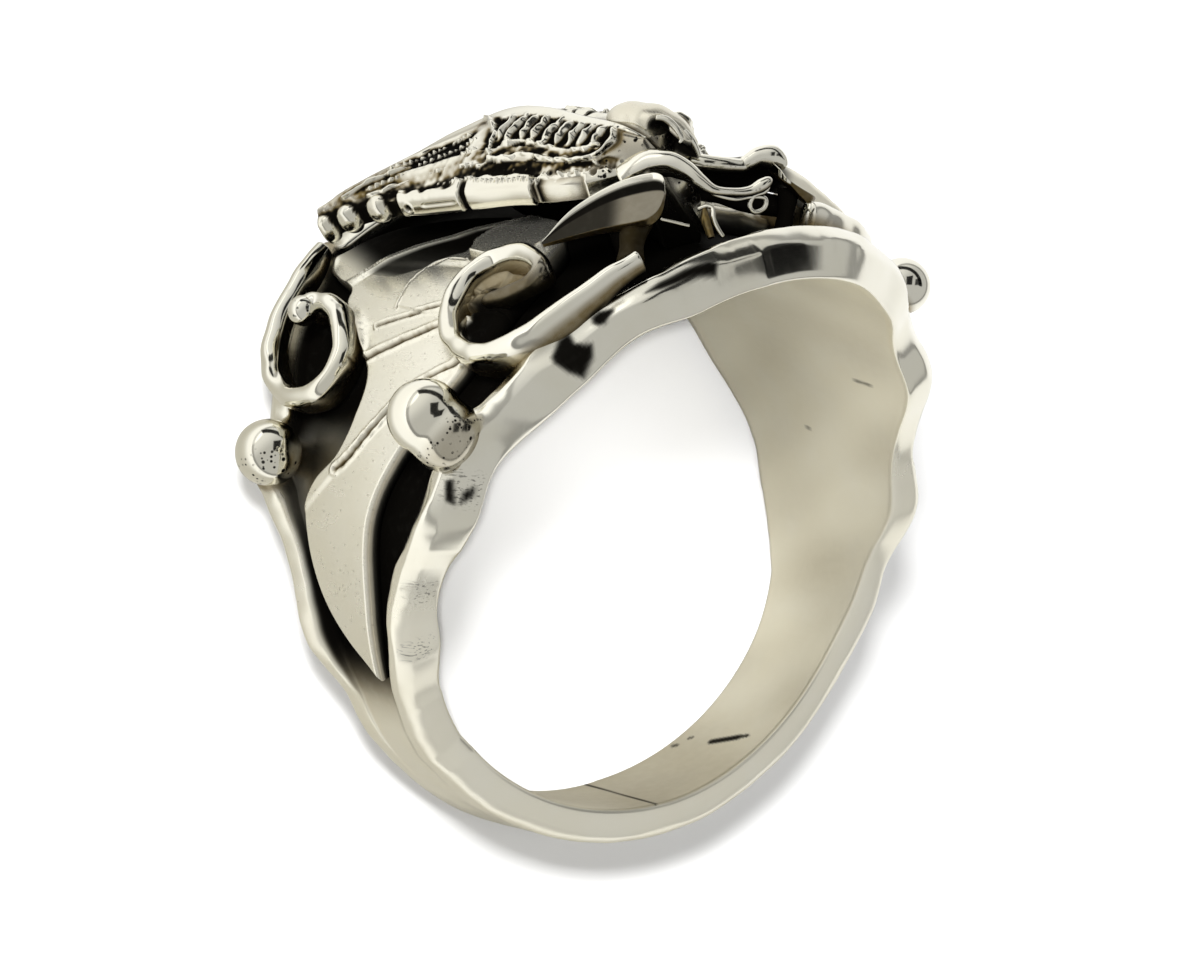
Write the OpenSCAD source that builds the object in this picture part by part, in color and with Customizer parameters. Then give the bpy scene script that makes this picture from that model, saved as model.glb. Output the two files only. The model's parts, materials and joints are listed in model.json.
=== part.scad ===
// Cast and hand-wrought silver ring: a split-shank band with an eagle on top
// Points are first placed round the finger: an angle from the top of the ring, a place
// along the finger (minus is the near side) and a height above the finger hole's wall.
// The ring is then laid on its far side, as it rests on a table

/* [Finger hole] */
// Radius of the finger hole, ring size 11
bore_r = 10.3; // [9.9:0.1:10.7]

/* [Band] */
// Thickness of the blackened ground between the rails
ground_t = 0.9; // [0.7:0.05:1.1]
// Height of the rounded inner corner of both rims
rim_lift = 0.18; // [0.1:0.02:0.3]
// Depth of the hammered waves along the rims
wave_depth = 0.32; // [0:0.02:0.5]
// Angle from one hammered wave to the next
wave_pitch = 27; // [24:1:30]
// Angle of the first wave's peak from the top
wave_start = 72; // [68:1:76]

/* [Shoulder leaves] */
// Thickness of the leaf plates
leaf_t = 0.62; // [0.4:0.02:0.8]
// Rise from each feather of a leaf to the next one
feather_step = 0.07; // [0:0.01:0.12]

/* [Wires and shot] */
// Radius of the scroll wire
wire_r = 0.52; // [0.4:0.02:0.6]
// Radius of the near left silver ball
near_ball_r = 1.38; // [1:0.02:1.5]
// Radius of the near right silver ball, melted from less silver
small_ball_r = 1.04; // [0.8:0.02:1.4]
// Radius of the far pair of silver balls
far_ball_r = 1.22; // [1:0.02:1.4]

/* [Eagle] */
// Thickness of the wings at their lower edge
wing_t = 0.75; // [0.5:0.05:1]
// Height of the feather relief on the wings
relief = 0.16; // [0:0.02:0.25]

/* [Hidden] */
// Gap between pieces that are soldered together, the thickness of the solder
film = 0.03;
// Angles where the hammered waves begin, are full, begin to fade and end
waves = [38, 60, 104, 122];
// Share of a wave's depth that the far rim and the crest take
far_wave = 0.6;
crest_wave = 0.5;
// How much squarer than a half circle a rail is
rail_square = 0.85;
// Chamfer of the band's two inner edges and depth of the stock inside the bore
edge_cut = 0.3;
bore_stock = 0.4;
// Steps round the band, round a wire, across the ground and over a rail
band_steps = 108;
wire_sides = 8;
ground_steps = 4;
rail_steps = 8;
// Steps over which a wire's end is rounded
end_steps = 1.5;

// Band sections: angle from the top, near edge, far edge on the left and on the right,
// height of the rails' crest, rise of the ground between them, width of a rail
BAND = [
    [0, 12.20, 8.30, 8.30, 1.80, 0.00, 1.90],
    [22, 11.55, 8.50, 8.50, 1.82, 0.00, 1.90],
    [42, 9.45, 7.60, 7.60, 1.82, 0.00, 1.90],
    [58, 7.60, 6.20, 6.40, 1.75, 0.00, 1.90],
    [72, 6.15, 5.05, 5.70, 1.70, 0.00, 1.80],
    [88, 4.50, 3.70, 4.30, 1.62, 0.00, 1.60],
    [100, 3.70, 2.85, 3.70, 1.55, 0.05, 1.50],
    [112, 2.95, 2.30, 2.90, 1.45, 0.30, 1.40],
    [128, 2.35, 2.05, 2.35, 1.35, 0.42, 1.20],
    [150, 2.25, 2.20, 2.25, 1.30, 0.40, 1.10],
    [180, 2.36, 2.50, 2.50, 1.30, 0.40, 1.10]];

// Leaf sections: angle from the top, far edge, near edge
LEAF = [
    [105, -1.48, -1.58],
    [102, -1.00, -1.68],
    [98, -0.18, -1.82],
    [94, 0.50, -1.93],
    [90, 1.02, -2.04],
    [85, 1.48, -2.08],
    [80, 1.82, -2.06],
    [75, 2.02, -2.12],
    [70, 1.60, -2.40],
    [65, 0.60, -2.86],
    [58, 0.20, -3.60],
    [50, 0.50, -4.45],
    [42, 2.40, -4.95],
    [34, 4.50, -5.00],
    [27, 5.30, -4.85],
    [20, 4.60, -4.60],
    [14, 2.60, -4.00],
    [10.5, 0.50, -3.00]];

// Steps between the feathers of a leaf: the angle where each meets the ring's middle, and
// how many degrees it drops for each mm along the finger
STEPS = [[66.5, 4.9], [44.8, 2.8], [38, 2.1], [26, 0.7]];
// Degrees over which a step rises, and the drop and share of width of a leaf's rounded edges
step_run = 3;
leaf_round = 0.16;
leaf_margin = 0.12;

// Near scroll: angle from the top, place along the finger, height, share of the wire's size
NEAR_SCROLL = [
    [31.4, -7.30, 2.42, 0.95],
    [28.6, -6.20, 2.32, 1.15],
    [29.6, -5.00, 2.22, 1.10],
    [35.2, -4.10, 2.17, 1.00],
    [41.6, -4.55, 2.17, 1.00],
    [45.0, -6.00, 2.17, 1.00],
    [43.2, -7.35, 2.22, 1.00],
    [38.2, -8.55, 2.37, 1.00],
    [31.2, -9.40, 2.52, 0.95],
    [24.5, -10.15, 2.57, 0.90],
    [20.0, -10.60, 2.57, 0.85]];

// Near scroll of the right side, made by hand and so a little different
RIGHT_SCROLL = [
    [32.4, -6.40, 2.40, 0.95],
    [29.8, -5.40, 2.36, 1.05],
    [30.4, -4.20, 2.32, 1.05],
    [35.2, -3.30, 2.25, 1.00],
    [41.0, -3.70, 2.20, 1.00],
    [44.2, -5.10, 2.12, 1.00],
    [42.2, -6.45, 2.02, 1.00],
    [37.0, -7.60, 2.00, 1.00],
    [30.0, -8.45, 2.04, 0.95],
    [23.5, -9.05, 2.12, 0.90],
    [19.0, -9.40, 2.18, 0.85]];

// Far scroll, with the same columns
FAR_SCROLL = [
    [45.0, 3.35, 2.61, 1.15],
    [42.6, 2.75, 2.46, 1.05],
    [43.4, 1.70, 2.26, 1.00],
    [48.2, 1.15, 2.06, 1.00],
    [54.0, 1.50, 2.01, 1.00],
    [57.4, 2.90, 2.01, 1.00],
    [56.0, 4.30, 2.06, 1.00],
    [50.0, 5.05, 2.11, 1.00],
    [42.0, 5.50, 2.16, 0.95],
    [34.0, 5.95, 2.16, 0.85],
    [28.0, 6.30, 2.11, 0.70]];

// Thickness of a tongue's thin end, how much it swells with its width, and its edges' curl
tongue_t = 0.25;
tongue_swell = 0.4;
tongue_curl = 0.12;
// Radii of a tongue's post at its foot, waist and head
post_r = [0.55, 0.48, 0.62];
// Tongue beside the near scroll: angle from the top, place along the finger, height, half width
TONGUE = [
    [26.4, -5.95, 3.25, 0.10],
    [22.6, -6.90, 3.48, 0.50],
    [19.2, -7.80, 3.75, 0.88],
    [16.4, -8.60, 3.98, 1.12],
    [14.0, -9.35, 4.08, 1.05],
    [12.4, -9.90, 4.06, 0.62],
    [11.8, -10.15, 4.02, 0.14]];

// Tongue of the right side, shorter and set lower
RIGHT_TONGUE = [
    [26.0, -6.45, 2.89, 0.10],
    [24.0, -6.90, 3.04, 0.45],
    [21.6, -7.45, 3.19, 0.80],
    [19.2, -8.05, 3.29, 1.00],
    [17.2, -8.65, 3.30, 0.92],
    [15.9, -9.05, 3.26, 0.55],
    [15.4, -9.25, 3.22, 0.12]];

// Silver balls: angle from the top, place along the finger, height
NEAR_BALL = [56.2, -5.60, 2.70];
SMALL_BALL = [56.2, -5.60, 2.54];
FAR_BALL = [67.2, 3.75, 2.20];

// Wing stations from the shoulder to the tip: how far along, then the rim's, the lower
// feathers' edge's and the middle of the back's place as across, along the finger, height
WING = [
    [0.00, 1.00, -7.10, 4.80, 1.40, -7.40, 4.10, 0, -7.10, 5.10],
    [0.12, 1.30, -6.00, 5.25, 2.60, -6.40, 3.90, 0, -6.00, 5.65],
    [0.26, 1.05, -3.60, 5.30, 3.60, -4.90, 3.70, 0, -3.60, 5.30],
    [0.42, 0.90, -0.90, 5.38, 4.25, -2.80, 3.55, 0, -0.90, 4.90],
    [0.57, 1.10, 1.20, 5.20, 4.85, -1.00, 3.30, 0, 1.20, 4.60],
    [0.70, 2.20, 3.00, 4.50, 5.30, 1.00, 3.00, 0, 2.80, 4.10],
    [0.82, 3.85, 4.15, 3.75, 5.70, 2.40, 2.80, 0, 3.90, 3.60],
    [0.92, 5.45, 4.95, 3.00, 6.30, 4.20, 2.35, 0, 4.70, 3.10],
    [1.00, 6.55, 5.60, 2.20, 6.95, 5.50, 1.80, 0, 5.30, 2.70]];
wing_rows = 30;
wing_cols = 12;
back_cols = 4;
// Relief across a wing, from 0 at the rim to 1 at the lower edge: middle, half width and share
rim_roll = [0.02, 0.16, 1.6];
plates = [0.88, 0.12, 0.8];
feathers = [0.45, 0.3, 0.5];
feather_count = 8;
// Bulge of a wing's side and height of the back's middle between the rims
wing_bulge = 0.45;
back_rise = 0.25;
// Half width of the eagle's foot under the body, and its near and far ends
seat_half = 1.45;
seat_near = -8.2;
seat_far = 3.2;
// How much narrower the right wing's shoulder is and how much lower its crest
right_tuck = 0.3;
right_drop = 0.3;

// Eagle's limbs: place across, along the finger, height above the top of the finger hole, radius
BEAK = [
    [0.00, -6.50, 5.45, 0.60],
    [0.10, -7.35, 5.30, 0.52],
    [0.30, -7.85, 4.80, 0.44],
    [0.50, -8.05, 4.25, 0.32],
    [0.60, -8.05, 3.80, 0.18]];
FAR_LEG = [
    [0.50, -6.90, 3.90, 0.60],
    [1.50, -7.75, 3.70, 0.34],
    [2.60, -7.80, 3.42, 0.30],
    [3.20, -7.95, 3.48, 0.42],
    [3.75, -8.15, 3.46, 0.50],
    [4.05, -8.30, 3.12, 0.26]];
NEAR_LEG = [
    [-0.95, -7.10, 4.00, 0.75],
    [-0.20, -8.15, 3.75, 0.52],
    [0.35, -9.05, 3.15, 0.36],
    [1.00, -9.60, 2.78, 0.30],
    [1.65, -9.75, 2.75, 0.33],
    [2.15, -9.90, 2.92, 0.38],
    [2.40, -10.00, 3.20, 0.24]];
CLAW = [
    [-0.30, -8.20, 3.60, 0.50],
    [-0.60, -9.15, 3.20, 0.33],
    [-0.75, -9.60, 2.70, 0.27],
    [-0.55, -10.00, 2.20, 0.24],
    [-0.40, -10.20, 1.80, 0.14]];
// Direction that the limbs' sections keep level with
limb_level = [0.3, 0.2, 1];
// Middle of the eagle's head and half its size
head_c = [-0.1, -5.75, 5.12];
head_half = [1.25, 1.75, 1.00];

silver = [0.86, 0.85, 0.80];

// Smooth value of one column of a table at x, by cubic curves through its rows
function row_at(rows, x, i = 0) =
    (i >= len(rows) - 2 || between(rows[i][0], x, rows[i + 1][0])) ? i : row_at(rows, x, i + 1);
function between(a, x, b) = (a <= x && x <= b) || (b <= x && x <= a);
function slope(rows, i, col) =
    let (a = max(i - 1, 0), b = min(i + 1, len(rows) - 1))
    (rows[b][col] - rows[a][col]) / (rows[b][0] - rows[a][0]);
function hermite(a, b, ma, mb, u) =
    (2 * u ^ 3 - 3 * u ^ 2 + 1) * a + (u ^ 3 - 2 * u ^ 2 + u) * ma
    + (3 * u ^ 2 - 2 * u ^ 3) * b + (u ^ 3 - u ^ 2) * mb;
function column(rows, x, col) =
    let (i = row_at(rows, x), w = rows[i + 1][0] - rows[i][0], u = (x - rows[i][0]) / w)
    hermite(rows[i][col], rows[i + 1][col], w * slope(rows, i, col), w * slope(rows, i + 1, col), u);
// Point on a path of rows at u, from 0 at its first row to 1 at its last
function on_path(rows, u) =
    let (
        last = len(rows) - 1,
        i = min(floor(u * last), last - 1),
        v = u * last - i,
        a = rows[max(i - 1, 0)], b = rows[i], c = rows[i + 1], d = rows[min(i + 2, last)])
    [for (k = [0:len(b) - 1]) hermite(b[k], c[k], (c[k] - a[k]) / 2, (d[k] - b[k]) / 2, v)];
function smooth(a, b, x) = let (u = min(max((x - a) / (b - a), 0), 1)) u * u * (3 - 2 * u);
function bump(x, middle, half) = 1 - smooth(0, half, abs(x - middle));

// Direction away from the finger at an angle from the top, and a point round the finger
function up(angle) = [sin(angle), 0, cos(angle)];
function at(angle, along, height) = (bore_r + height) * up(angle) + [0, along, 0];
// A point of the eagle, whose heights count from the top of the finger hole
function perch(p) = [p[0], p[1], bore_r + p[2]];
function unit(v) = v / norm(v);

// Hammered waves on the rims, strongest on the shoulders
function wave(angle) =
    wave_depth * cos(360 * (abs(angle) - wave_start) / wave_pitch)
    * smooth(waves[0], waves[1], abs(angle)) * (1 - smooth(waves[2], waves[3], abs(angle)));
function near_edge(angle) = -column(BAND, abs(angle), 1) - wave(angle);
function far_edge(angle) = column(BAND, abs(angle), angle < 0 ? 2 : 3) + far_wave * wave(angle);
function crest(angle) = column(BAND, abs(angle), 4) + crest_wave * wave(angle);
function ground(angle) = ground_t + column(BAND, abs(angle), 5);
function rail_w(angle) = column(BAND, abs(angle), 6);

// One section of the band as places along the finger and heights: a rounded rail at each
// edge and the ground between them
function rail_point(edge, sense, angle, turn) =
    let (
        w = rail_w(angle), c = crest(angle), lift = sin(turn) ^ rail_square,
        foot = turn <= 90 ? rim_lift : ground(angle))
    [edge + sense * w / 2 * (1 - cos(turn)), foot + (c - foot) * lift];
function band_section(angle) =
    let (
        n = near_edge(angle), f = far_edge(angle), w = rail_w(angle), g = ground(angle))
    concat(
        [[n + edge_cut, -bore_stock]],
        [for (k = [0:rail_steps]) rail_point(n, 1, angle, 180 * k / rail_steps)],
        [for (k = [1:ground_steps - 1])
            [n + w + (f - n - 2 * w) * k / ground_steps, g]],
        [for (k = [rail_steps:-1:0]) rail_point(f, -1, angle, 180 * k / rail_steps)],
        [[f - edge_cut, -bore_stock]]);

// Closed surface through rings of points, in a loop or with its two ends shut, and with its
// faces turned outwards whichever way the rings run
module skin(rings, loop = false) {
    n = len(rings);
    m = len(rings[0]);
    sides = [for (i = [0:n - (loop ? 1 : 2)], j = [0:m - 1])
        let (a = i * m, b = (i + 1) % n * m, k = (j + 1) % m)
        each [[a + j, b + j, b + k], [a + j, b + k, a + k]]];
    half = floor(m / 2);
    e = (n - 1) * m;
    ends = loop ? [] : [for (j = [0:half - 2])
        each [
            [j, j + 1, m - 2 - j], [j, m - 2 - j, m - 1 - j],
            [e + j, e + m - 2 - j, e + j + 1], [e + j, e + m - 1 - j, e + m - 2 - j]]];
    points = [for (r = rings) each r];
    faces = concat(sides, ends);
    inside_out = [for (f = faces) cross(points[f[0]], points[f[1]]) * points[f[2]]]
        * [for (f = faces) 1] > 0;
    polyhedron(points, inside_out ? [for (f = faces) [f[2], f[1], f[0]]] : faces, convexity = 8);
}

// Round wire along points, each with its radius and a direction that its sections keep level with
module wire(points, radii, ups, sides = wire_sides) {
    last = len(points) - 1;
    rings = [for (i = [0:last])
        let (
            t = unit(points[min(i + 1, last)] - points[max(i - 1, 0)]),
            b = unit(cross(t, ups[i])), a = cross(b, t))
        [for (k = [0:sides - 1])
            let (turn = 360 * (k + 0.5) / sides)
            points[i] + radii[i] * (cos(turn) * a + sin(turn) * b)]];
    skin(rings);
}

// Rounding of a wire's two ends: the share of its size that is left near them
function round_end(u, steps) =
    let (d = min(u, 1 - u) * steps)
    d >= end_steps ? 1 : sqrt(1 - ((end_steps - d) / (1.1 * end_steps)) ^ 2);

// Wire that lies round the finger, from rows of angle, place along, radius and share of size
module finger_wire(rows, steps) {
    path = [for (k = [0:steps]) on_path(rows, k / steps)];
    wire(
        [for (p = path) at(-p[0], p[1], p[2])],
        [for (k = [0:steps]) wire_r * path[k][3] * round_end(k / steps, steps)],
        [for (p = path) up(-p[0])]);
}

// Limb of the eagle, from rows of place and radius
module limb(rows, steps, sides) {
    path = [for (k = [0:steps]) on_path(rows, k / steps)];
    wire(
        [for (p = path) perch(p)],
        [for (k = [0:steps]) path[k][3] * round_end(k / steps, steps)],
        [for (p = path) limb_level], sides);
}

module ball_at(place, r) {
    translate(at(-place[0], place[1], place[2])) sphere(r, $fn = 48);
}

// Seats that the two balls of one side are soldered into
module ball_seats(near, near_r) {
    ball_at(near, near_r + film);
    ball_at(FAR_BALL, far_ball_r + film);
}

// Lays a piece on the ring's far side, as it rests
module lay() {
    rotate([rest_tilt - 90, 0, 0]) children();
}
// How far the far rim reaches down at some angles when the ring lies with a tilt
function reach_down(tilt, angles) = max([for (angle = angles, turn = [0:7.5:90])
    let (p = rail_point(far_edge(angle), -1, angle, turn))
    p[0] * cos(tilt) - (bore_r + p[1]) * cos(angle) * sin(tilt)]);
// Tilt at which the rim under the eagle and the foot of the shank both touch the floor
function settle(low, high, halvings = 20) =
    let (middle = (low + high) / 2)
    halvings == 0 ? middle
    : reach_down(middle, [0:360 / band_steps:60]) > reach_down(middle, [180])
        ? settle(middle, high, halvings - 1) : settle(low, middle, halvings - 1);
rest_tilt = settle(0, 40);

// Band with its two rails, the shank and the blackened ground, soldered into one
module band() {
    color(silver) lay() difference() {
        skin([for (k = [0:band_steps - 1])
            let (angle = 360 * k / band_steps - 180)
            [for (p = band_section(angle)) at(angle, p[0], p[1])]], loop = true);
        rotate([90, 0, 0]) cylinder(r = bore_r, h = 40, center = true, $fn = 180);
        ball_seats(NEAR_BALL, near_ball_r);
        mirror([1, 0, 0]) ball_seats(SMALL_BALL, small_ball_r);
    }
}

// Top of a leaf: feathers that step up towards the eagle
function leaf_top(angle, along) =
    ground_t + film + leaf_t
    + sum([for (l = STEPS) feather_step * smooth(-step_run, step_run, l[0] + l[1] * along - angle)]);
function sum(list, i = 0) = i >= len(list) ? 0 : list[i] + sum(list, i + 1);

module leaf_half(near, near_r) {
    steps = 32;
    cols = 8;
    difference() {
        skin([for (k = [0:steps])
            let (
                angle = LEAF[0][0] + (LEAF[len(LEAF) - 1][0] - LEAF[0][0]) * k / steps,
                far = column(LEAF, angle, 1), near = column(LEAF, angle, 2))
            concat(
                [for (j = [0:cols])
                    let (v = j / cols, along = far + (near - far) * v,
                        edge = leaf_round * max(bump(v, 0, leaf_margin), bump(v, 1, leaf_margin)))
                    at(-angle, along, leaf_top(angle, along) - edge)],
                [for (j = [cols:-1:0])
                    at(-angle, far + (near - far) * j / cols, leaf_foot(angle))])]);
        ball_seats(near, near_r);
    }
}
function leaf_foot(angle) = ground(angle) + film;

module leaf_left() { color(silver) lay() leaf_half(NEAR_BALL, near_ball_r); }
module leaf_right() { color(silver) lay() mirror([1, 0, 0]) leaf_half(SMALL_BALL, small_ball_r); }

module near_scroll_left() { color(silver) lay() finger_wire(NEAR_SCROLL, 28); }
module near_scroll_right() {
    color(silver) lay() mirror([1, 0, 0]) finger_wire(RIGHT_SCROLL, 28);
}
module far_scroll_half() { finger_wire(FAR_SCROLL, 28); }
module far_scroll_left() { color(silver) lay() far_scroll_half(); }
module far_scroll_right() { color(silver) lay() mirror([1, 0, 0]) far_scroll_half(); }

// Tongue: a drop-shaped plate on a post under its round end
module tongue_half(rows) {
    steps = 12;
    cols = 6;
    skin([for (k = [0:steps])
        let (
            p = on_path(rows, k / steps),
            q = on_path(rows, min(k + 1, steps) / steps),
            o = on_path(rows, max(k - 1, 0) / steps),
            t = unit(at(-q[0], q[1], q[2]) - at(-o[0], o[1], o[2])),
            out = up(-p[0]),
            side = unit(cross(out, t)))
        concat(
            [for (j = [0:cols])
                let (v = 2 * j / cols - 1)
                at(-p[0], p[1], p[2]) + p[3] * v * side + out * tongue_curl * v * v],
            [for (j = [cols:-1:0])
                let (v = 2 * j / cols - 1)
                at(-p[0], p[1], p[2]) + p[3] * v * side
                    - out * (tongue_t + tongue_swell * p[3])])]);
    post = on_path(rows, 0.5);
    wire([for (h = [ground_t + 2 * film, post[2] / 2, post[2] - 0.5]) at(-post[0], post[1], h)],
        post_r, [for (k = post_r) [0, 1, 0]]);
}
module tongue_left() { color(silver) lay() tongue_half(TONGUE); }
module tongue_right() { color(silver) lay() mirror([1, 0, 0]) tongue_half(RIGHT_TONGUE); }

module near_ball_left() { color(silver) lay() ball_at(NEAR_BALL, near_ball_r); }
module near_ball_right() { color(silver) lay() mirror([1, 0, 0]) ball_at(SMALL_BALL, small_ball_r); }
module far_ball_left() { color(silver) lay() ball_at(FAR_BALL, far_ball_r); }
module far_ball_right() { color(silver) lay() mirror([1, 0, 0]) ball_at(FAR_BALL, far_ball_r); }

// Relief of a wing, s from the shoulder to the tip and t from the rim to the lower edge
function wing_relief(s, t) =
    relief * (raised(t, rim_roll) + raised(t, plates)
        + cos(360 * feather_count * s) * raised(t, feathers));
function raised(t, form) = form[2] * bump(t, form[0], form[1]);
function wing_at(s, col) = perch([for (k = [0:2]) column(WING, s, col + k)]);
// Top of the eagle, across from 0 at the middle of the back, 1 at the rim, to 2 at the edge
function eagle_top(s, across, sense) =
    let (
        rim = wing_at(s, 1), edge = wing_at(s, 4), back = wing_at(s, 7),
        t = max(across - 1, 0),
        p = across <= 1
            ? back + (rim - back) * across + [0, 0, back_rise] * (smooth(0, 1, across) - across)
            : rim + (edge - rim) * t,
        out = unit([p[0], 0, p[2]]),
        q = p + out * (across <= 1 ? 0 : wing_bulge * sin(180 * t) + wing_relief(s, t)))
    sense < 0 ? [-q[0], q[1], q[2]] : tucked(q, s);
// The right wing is tucked in at its shoulder and a little lower at its crest
function tucked(p, s) = [
    p[0] * (1 - right_tuck * (1 - smooth(0.1, 0.4, s))), p[1],
    p[2] - right_drop * bump(s, 0.45, 0.35) * smooth(0.5, 1, p[0])];
// Underside: the wing's thickness below the top, and down to the ground under the body
function eagle_foot(p) =
    let (
        r = norm([p[0], p[2]]),
        seat = (1 - smooth(seat_half - 0.5, seat_half + 0.5, abs(p[0])))
            * smooth(seat_near - 0.4, seat_near + 0.6, p[1])
            * (1 - smooth(seat_far - 0.6, seat_far + 0.4, p[1])),
        low = bore_r + ground_t + film,
        foot = max((r - wing_t) * (1 - seat) + low * seat, low))
    [p[0] * foot / r, p[1], p[2] * foot / r];

module eagle_sheet() {
    across = concat(
        [for (j = [wing_cols:-1:1]) [1 + j / wing_cols, -1]],
        [for (j = [back_cols:-1:1]) [j / back_cols, -1]],
        [for (j = [0:back_cols]) [j / back_cols, 1]],
        [for (j = [1:wing_cols]) [1 + j / wing_cols, 1]]);
    m = len(across) - 1;
    skin([for (k = [0:wing_rows])
        let (top = [for (a = across) eagle_top(k / wing_rows, a[0], a[1])])
        concat(top, [for (j = [m:-1:0]) eagle_foot(top[j])])]);
}

// Rounded head on the shoulders
module head() {
    steps = 10;
    sides = 16;
    skin([for (k = [0:steps])
        let (lean = -84 + 168 * k / steps)
        [for (j = [0:sides - 1])
            let (turn = 360 * (j + 0.5) / sides)
            perch(head_c) + [head_half[0] * cos(lean) * cos(turn),
                head_half[1] * sin(lean), head_half[2] * cos(lean) * sin(turn)]]]);
}

module eagle() {
    color(silver) lay() union() {
        eagle_sheet();
        head();
        limb(BEAK, 10, 10);
        limb(FAR_LEG, 14, 8);
        limb(NEAR_LEG, 16, 8);
        limb(CLAW, 12, 8);
    }
}

band();
eagle();
leaf_left();
leaf_right();
near_scroll_left();
near_scroll_right();
far_scroll_left();
far_scroll_right();
tongue_left();
tongue_right();
near_ball_left();
near_ball_right();
far_ball_left();
far_ball_right();
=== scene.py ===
"""Silver eagle ring: the finish and fine forms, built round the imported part.

Tables are in millimetres in the ring's own frame: x across, y along the finger (minus is the near
side), z up to the eagle. Meshes are in metres in the part's frame, where the ring lies on its side.
"""
import json
import math

import bpy
import numpy as np
from mathutils import Matrix, Vector


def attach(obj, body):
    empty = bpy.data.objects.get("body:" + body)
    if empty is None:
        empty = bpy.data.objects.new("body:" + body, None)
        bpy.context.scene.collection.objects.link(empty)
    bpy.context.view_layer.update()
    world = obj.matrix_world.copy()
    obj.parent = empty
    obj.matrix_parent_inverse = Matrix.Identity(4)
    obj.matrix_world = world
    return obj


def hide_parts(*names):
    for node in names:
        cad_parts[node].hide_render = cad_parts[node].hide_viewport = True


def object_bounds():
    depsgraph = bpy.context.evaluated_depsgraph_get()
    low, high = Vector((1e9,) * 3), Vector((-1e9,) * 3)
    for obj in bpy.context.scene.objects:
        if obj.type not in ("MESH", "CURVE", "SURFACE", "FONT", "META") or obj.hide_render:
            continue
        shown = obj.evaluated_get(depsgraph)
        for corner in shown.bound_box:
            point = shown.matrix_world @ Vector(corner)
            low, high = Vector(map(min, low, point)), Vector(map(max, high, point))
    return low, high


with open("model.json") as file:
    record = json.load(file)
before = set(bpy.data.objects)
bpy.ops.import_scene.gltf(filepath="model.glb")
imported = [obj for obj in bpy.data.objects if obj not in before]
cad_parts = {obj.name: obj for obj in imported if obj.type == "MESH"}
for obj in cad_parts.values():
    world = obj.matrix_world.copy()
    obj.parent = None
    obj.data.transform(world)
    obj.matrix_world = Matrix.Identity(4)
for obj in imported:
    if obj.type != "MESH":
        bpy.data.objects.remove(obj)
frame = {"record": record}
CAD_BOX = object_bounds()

bl_info = {
    "name": "Eagle ring",
    "version": (1, 0, 0),
    "blender": (4, 5, 0),
    "location": "3D View > Sidebar > Eagle ring",
    "description": "Builds a cast and hand-wrought silver eagle ring round its packed part",
    "category": "Add Mesh",
}

MM = 0.001
MOUNT = frame["record"]["mounts"][0]
BORE_R = MOUNT["dims"]["r_mm"]
TILT = math.atan2(-MOUNT["axis"][1], MOUNT["axis"][2])
LEFT, RIGHT = -1, 1
# Factors that mirror a point to the other side, and that leave only its way from the finger's axis
MIRROR, OUTWARD = np.array([-1, 1, 1]), np.array([1, 0, 1])
# Film of solder under the leaves and the eagle
FILM = 0.03

# Band sections: angle from the top, near edge, far edge on the left and on the right, height of
# the rails' crest, rise of the ground between them, width of a rail
BAND = [
    [0, 12.2, 8.3, 8.3, 1.8, 0, 1.9], [22, 11.55, 8.5, 8.5, 1.82, 0, 1.9],
    [42, 9.45, 7.6, 7.6, 1.82, 0, 1.9], [58, 7.6, 6.2, 6.4, 1.75, 0, 1.9],
    [72, 6.15, 5.05, 5.7, 1.7, 0, 1.8], [88, 4.5, 3.7, 4.3, 1.62, 0, 1.6],
    [100, 3.7, 2.85, 3.7, 1.55, 0.05, 1.5], [112, 2.95, 2.3, 2.9, 1.45, 0.3, 1.4],
    [128, 2.35, 2.05, 2.35, 1.35, 0.42, 1.2], [150, 2.25, 2.2, 2.25, 1.3, 0.4, 1.1],
    [180, 2.36, 2.5, 2.5, 1.3, 0.4, 1.1],
]
# Hammered waves: depth, angle between them, angle of the first, where they begin, are full,
# begin to fade and end, and the far rim's and the crest's share. A rail's section is a sine to the
# power RAIL_SQUARE; RIM_LIFT is the height of its outer foot
WAVE_DEPTH, WAVE_PITCH, WAVE_START = 0.32, 27, 72
WAVES = [38, 60, 104, 122]
FAR_WAVE, CREST_WAVE = 0.6, 0.5
RAIL_SQUARE, RIM_LIFT = 0.85, 0.18

# Uneven hammering of the rims: angle and how far the edge moves along the finger; the near rim of
# the left side and the far rim of the right side. FLARE is the near rim's rounding: middle and
# reach in angle, rise in mm
NEAR_SHIFT = [
    [-127, 0], [-123, 0.24], [-117, 0.16], [-111, -0.04], [-101, 0.12], [-93, 0.05], [-86, -0.15],
    [-81.6, -0.2], [-78.3, -0.34], [-75, -0.24], [-69, -0.1], [-61, 0.07], [-48, 0],
]
FAR_SHIFT = [
    [74, -0.05], [80, 0.15], [88, 0.24], [95, 0.14], [100, 0.05], [107.5, 0.28], [112, 0.22], [116, 0],
]
FLARE = [-28, 13, 0.46]

# Marks on the finger hole's wall, each from and to by angle and place along the finger, then half
# its width in mm and how dark it is: the liner's seam, a slot left open and some small stains
MARKS = [
    [-177.7, 2.6, -176.9, -2.6, 0.1, 0.65], [156.8, 0.32, 153.9, -0.75, 0.2, 0.9],
    [154.4, -0.5, 152.9, -1.13, 0.12, 0.8], [160.6, 1.9, 160.2, 1.8, 0.14, 0.6],
    [157.4, 1.6, 157, 1.5, 0.12, 0.5], [84, 0.6, 84.6, 0.5, 0.12, 0.4], [70, -3.4, 70.4, -4.2, 0.1, 0.4],
]
# File marks on the near rail: middle by angle and place along the finger, then their reach
FILED = [[-66, -6.9, 6.5, 1.3], [-87, -4.6, 5, 1], [-98, -3.9, 4, 0.8]]

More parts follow.
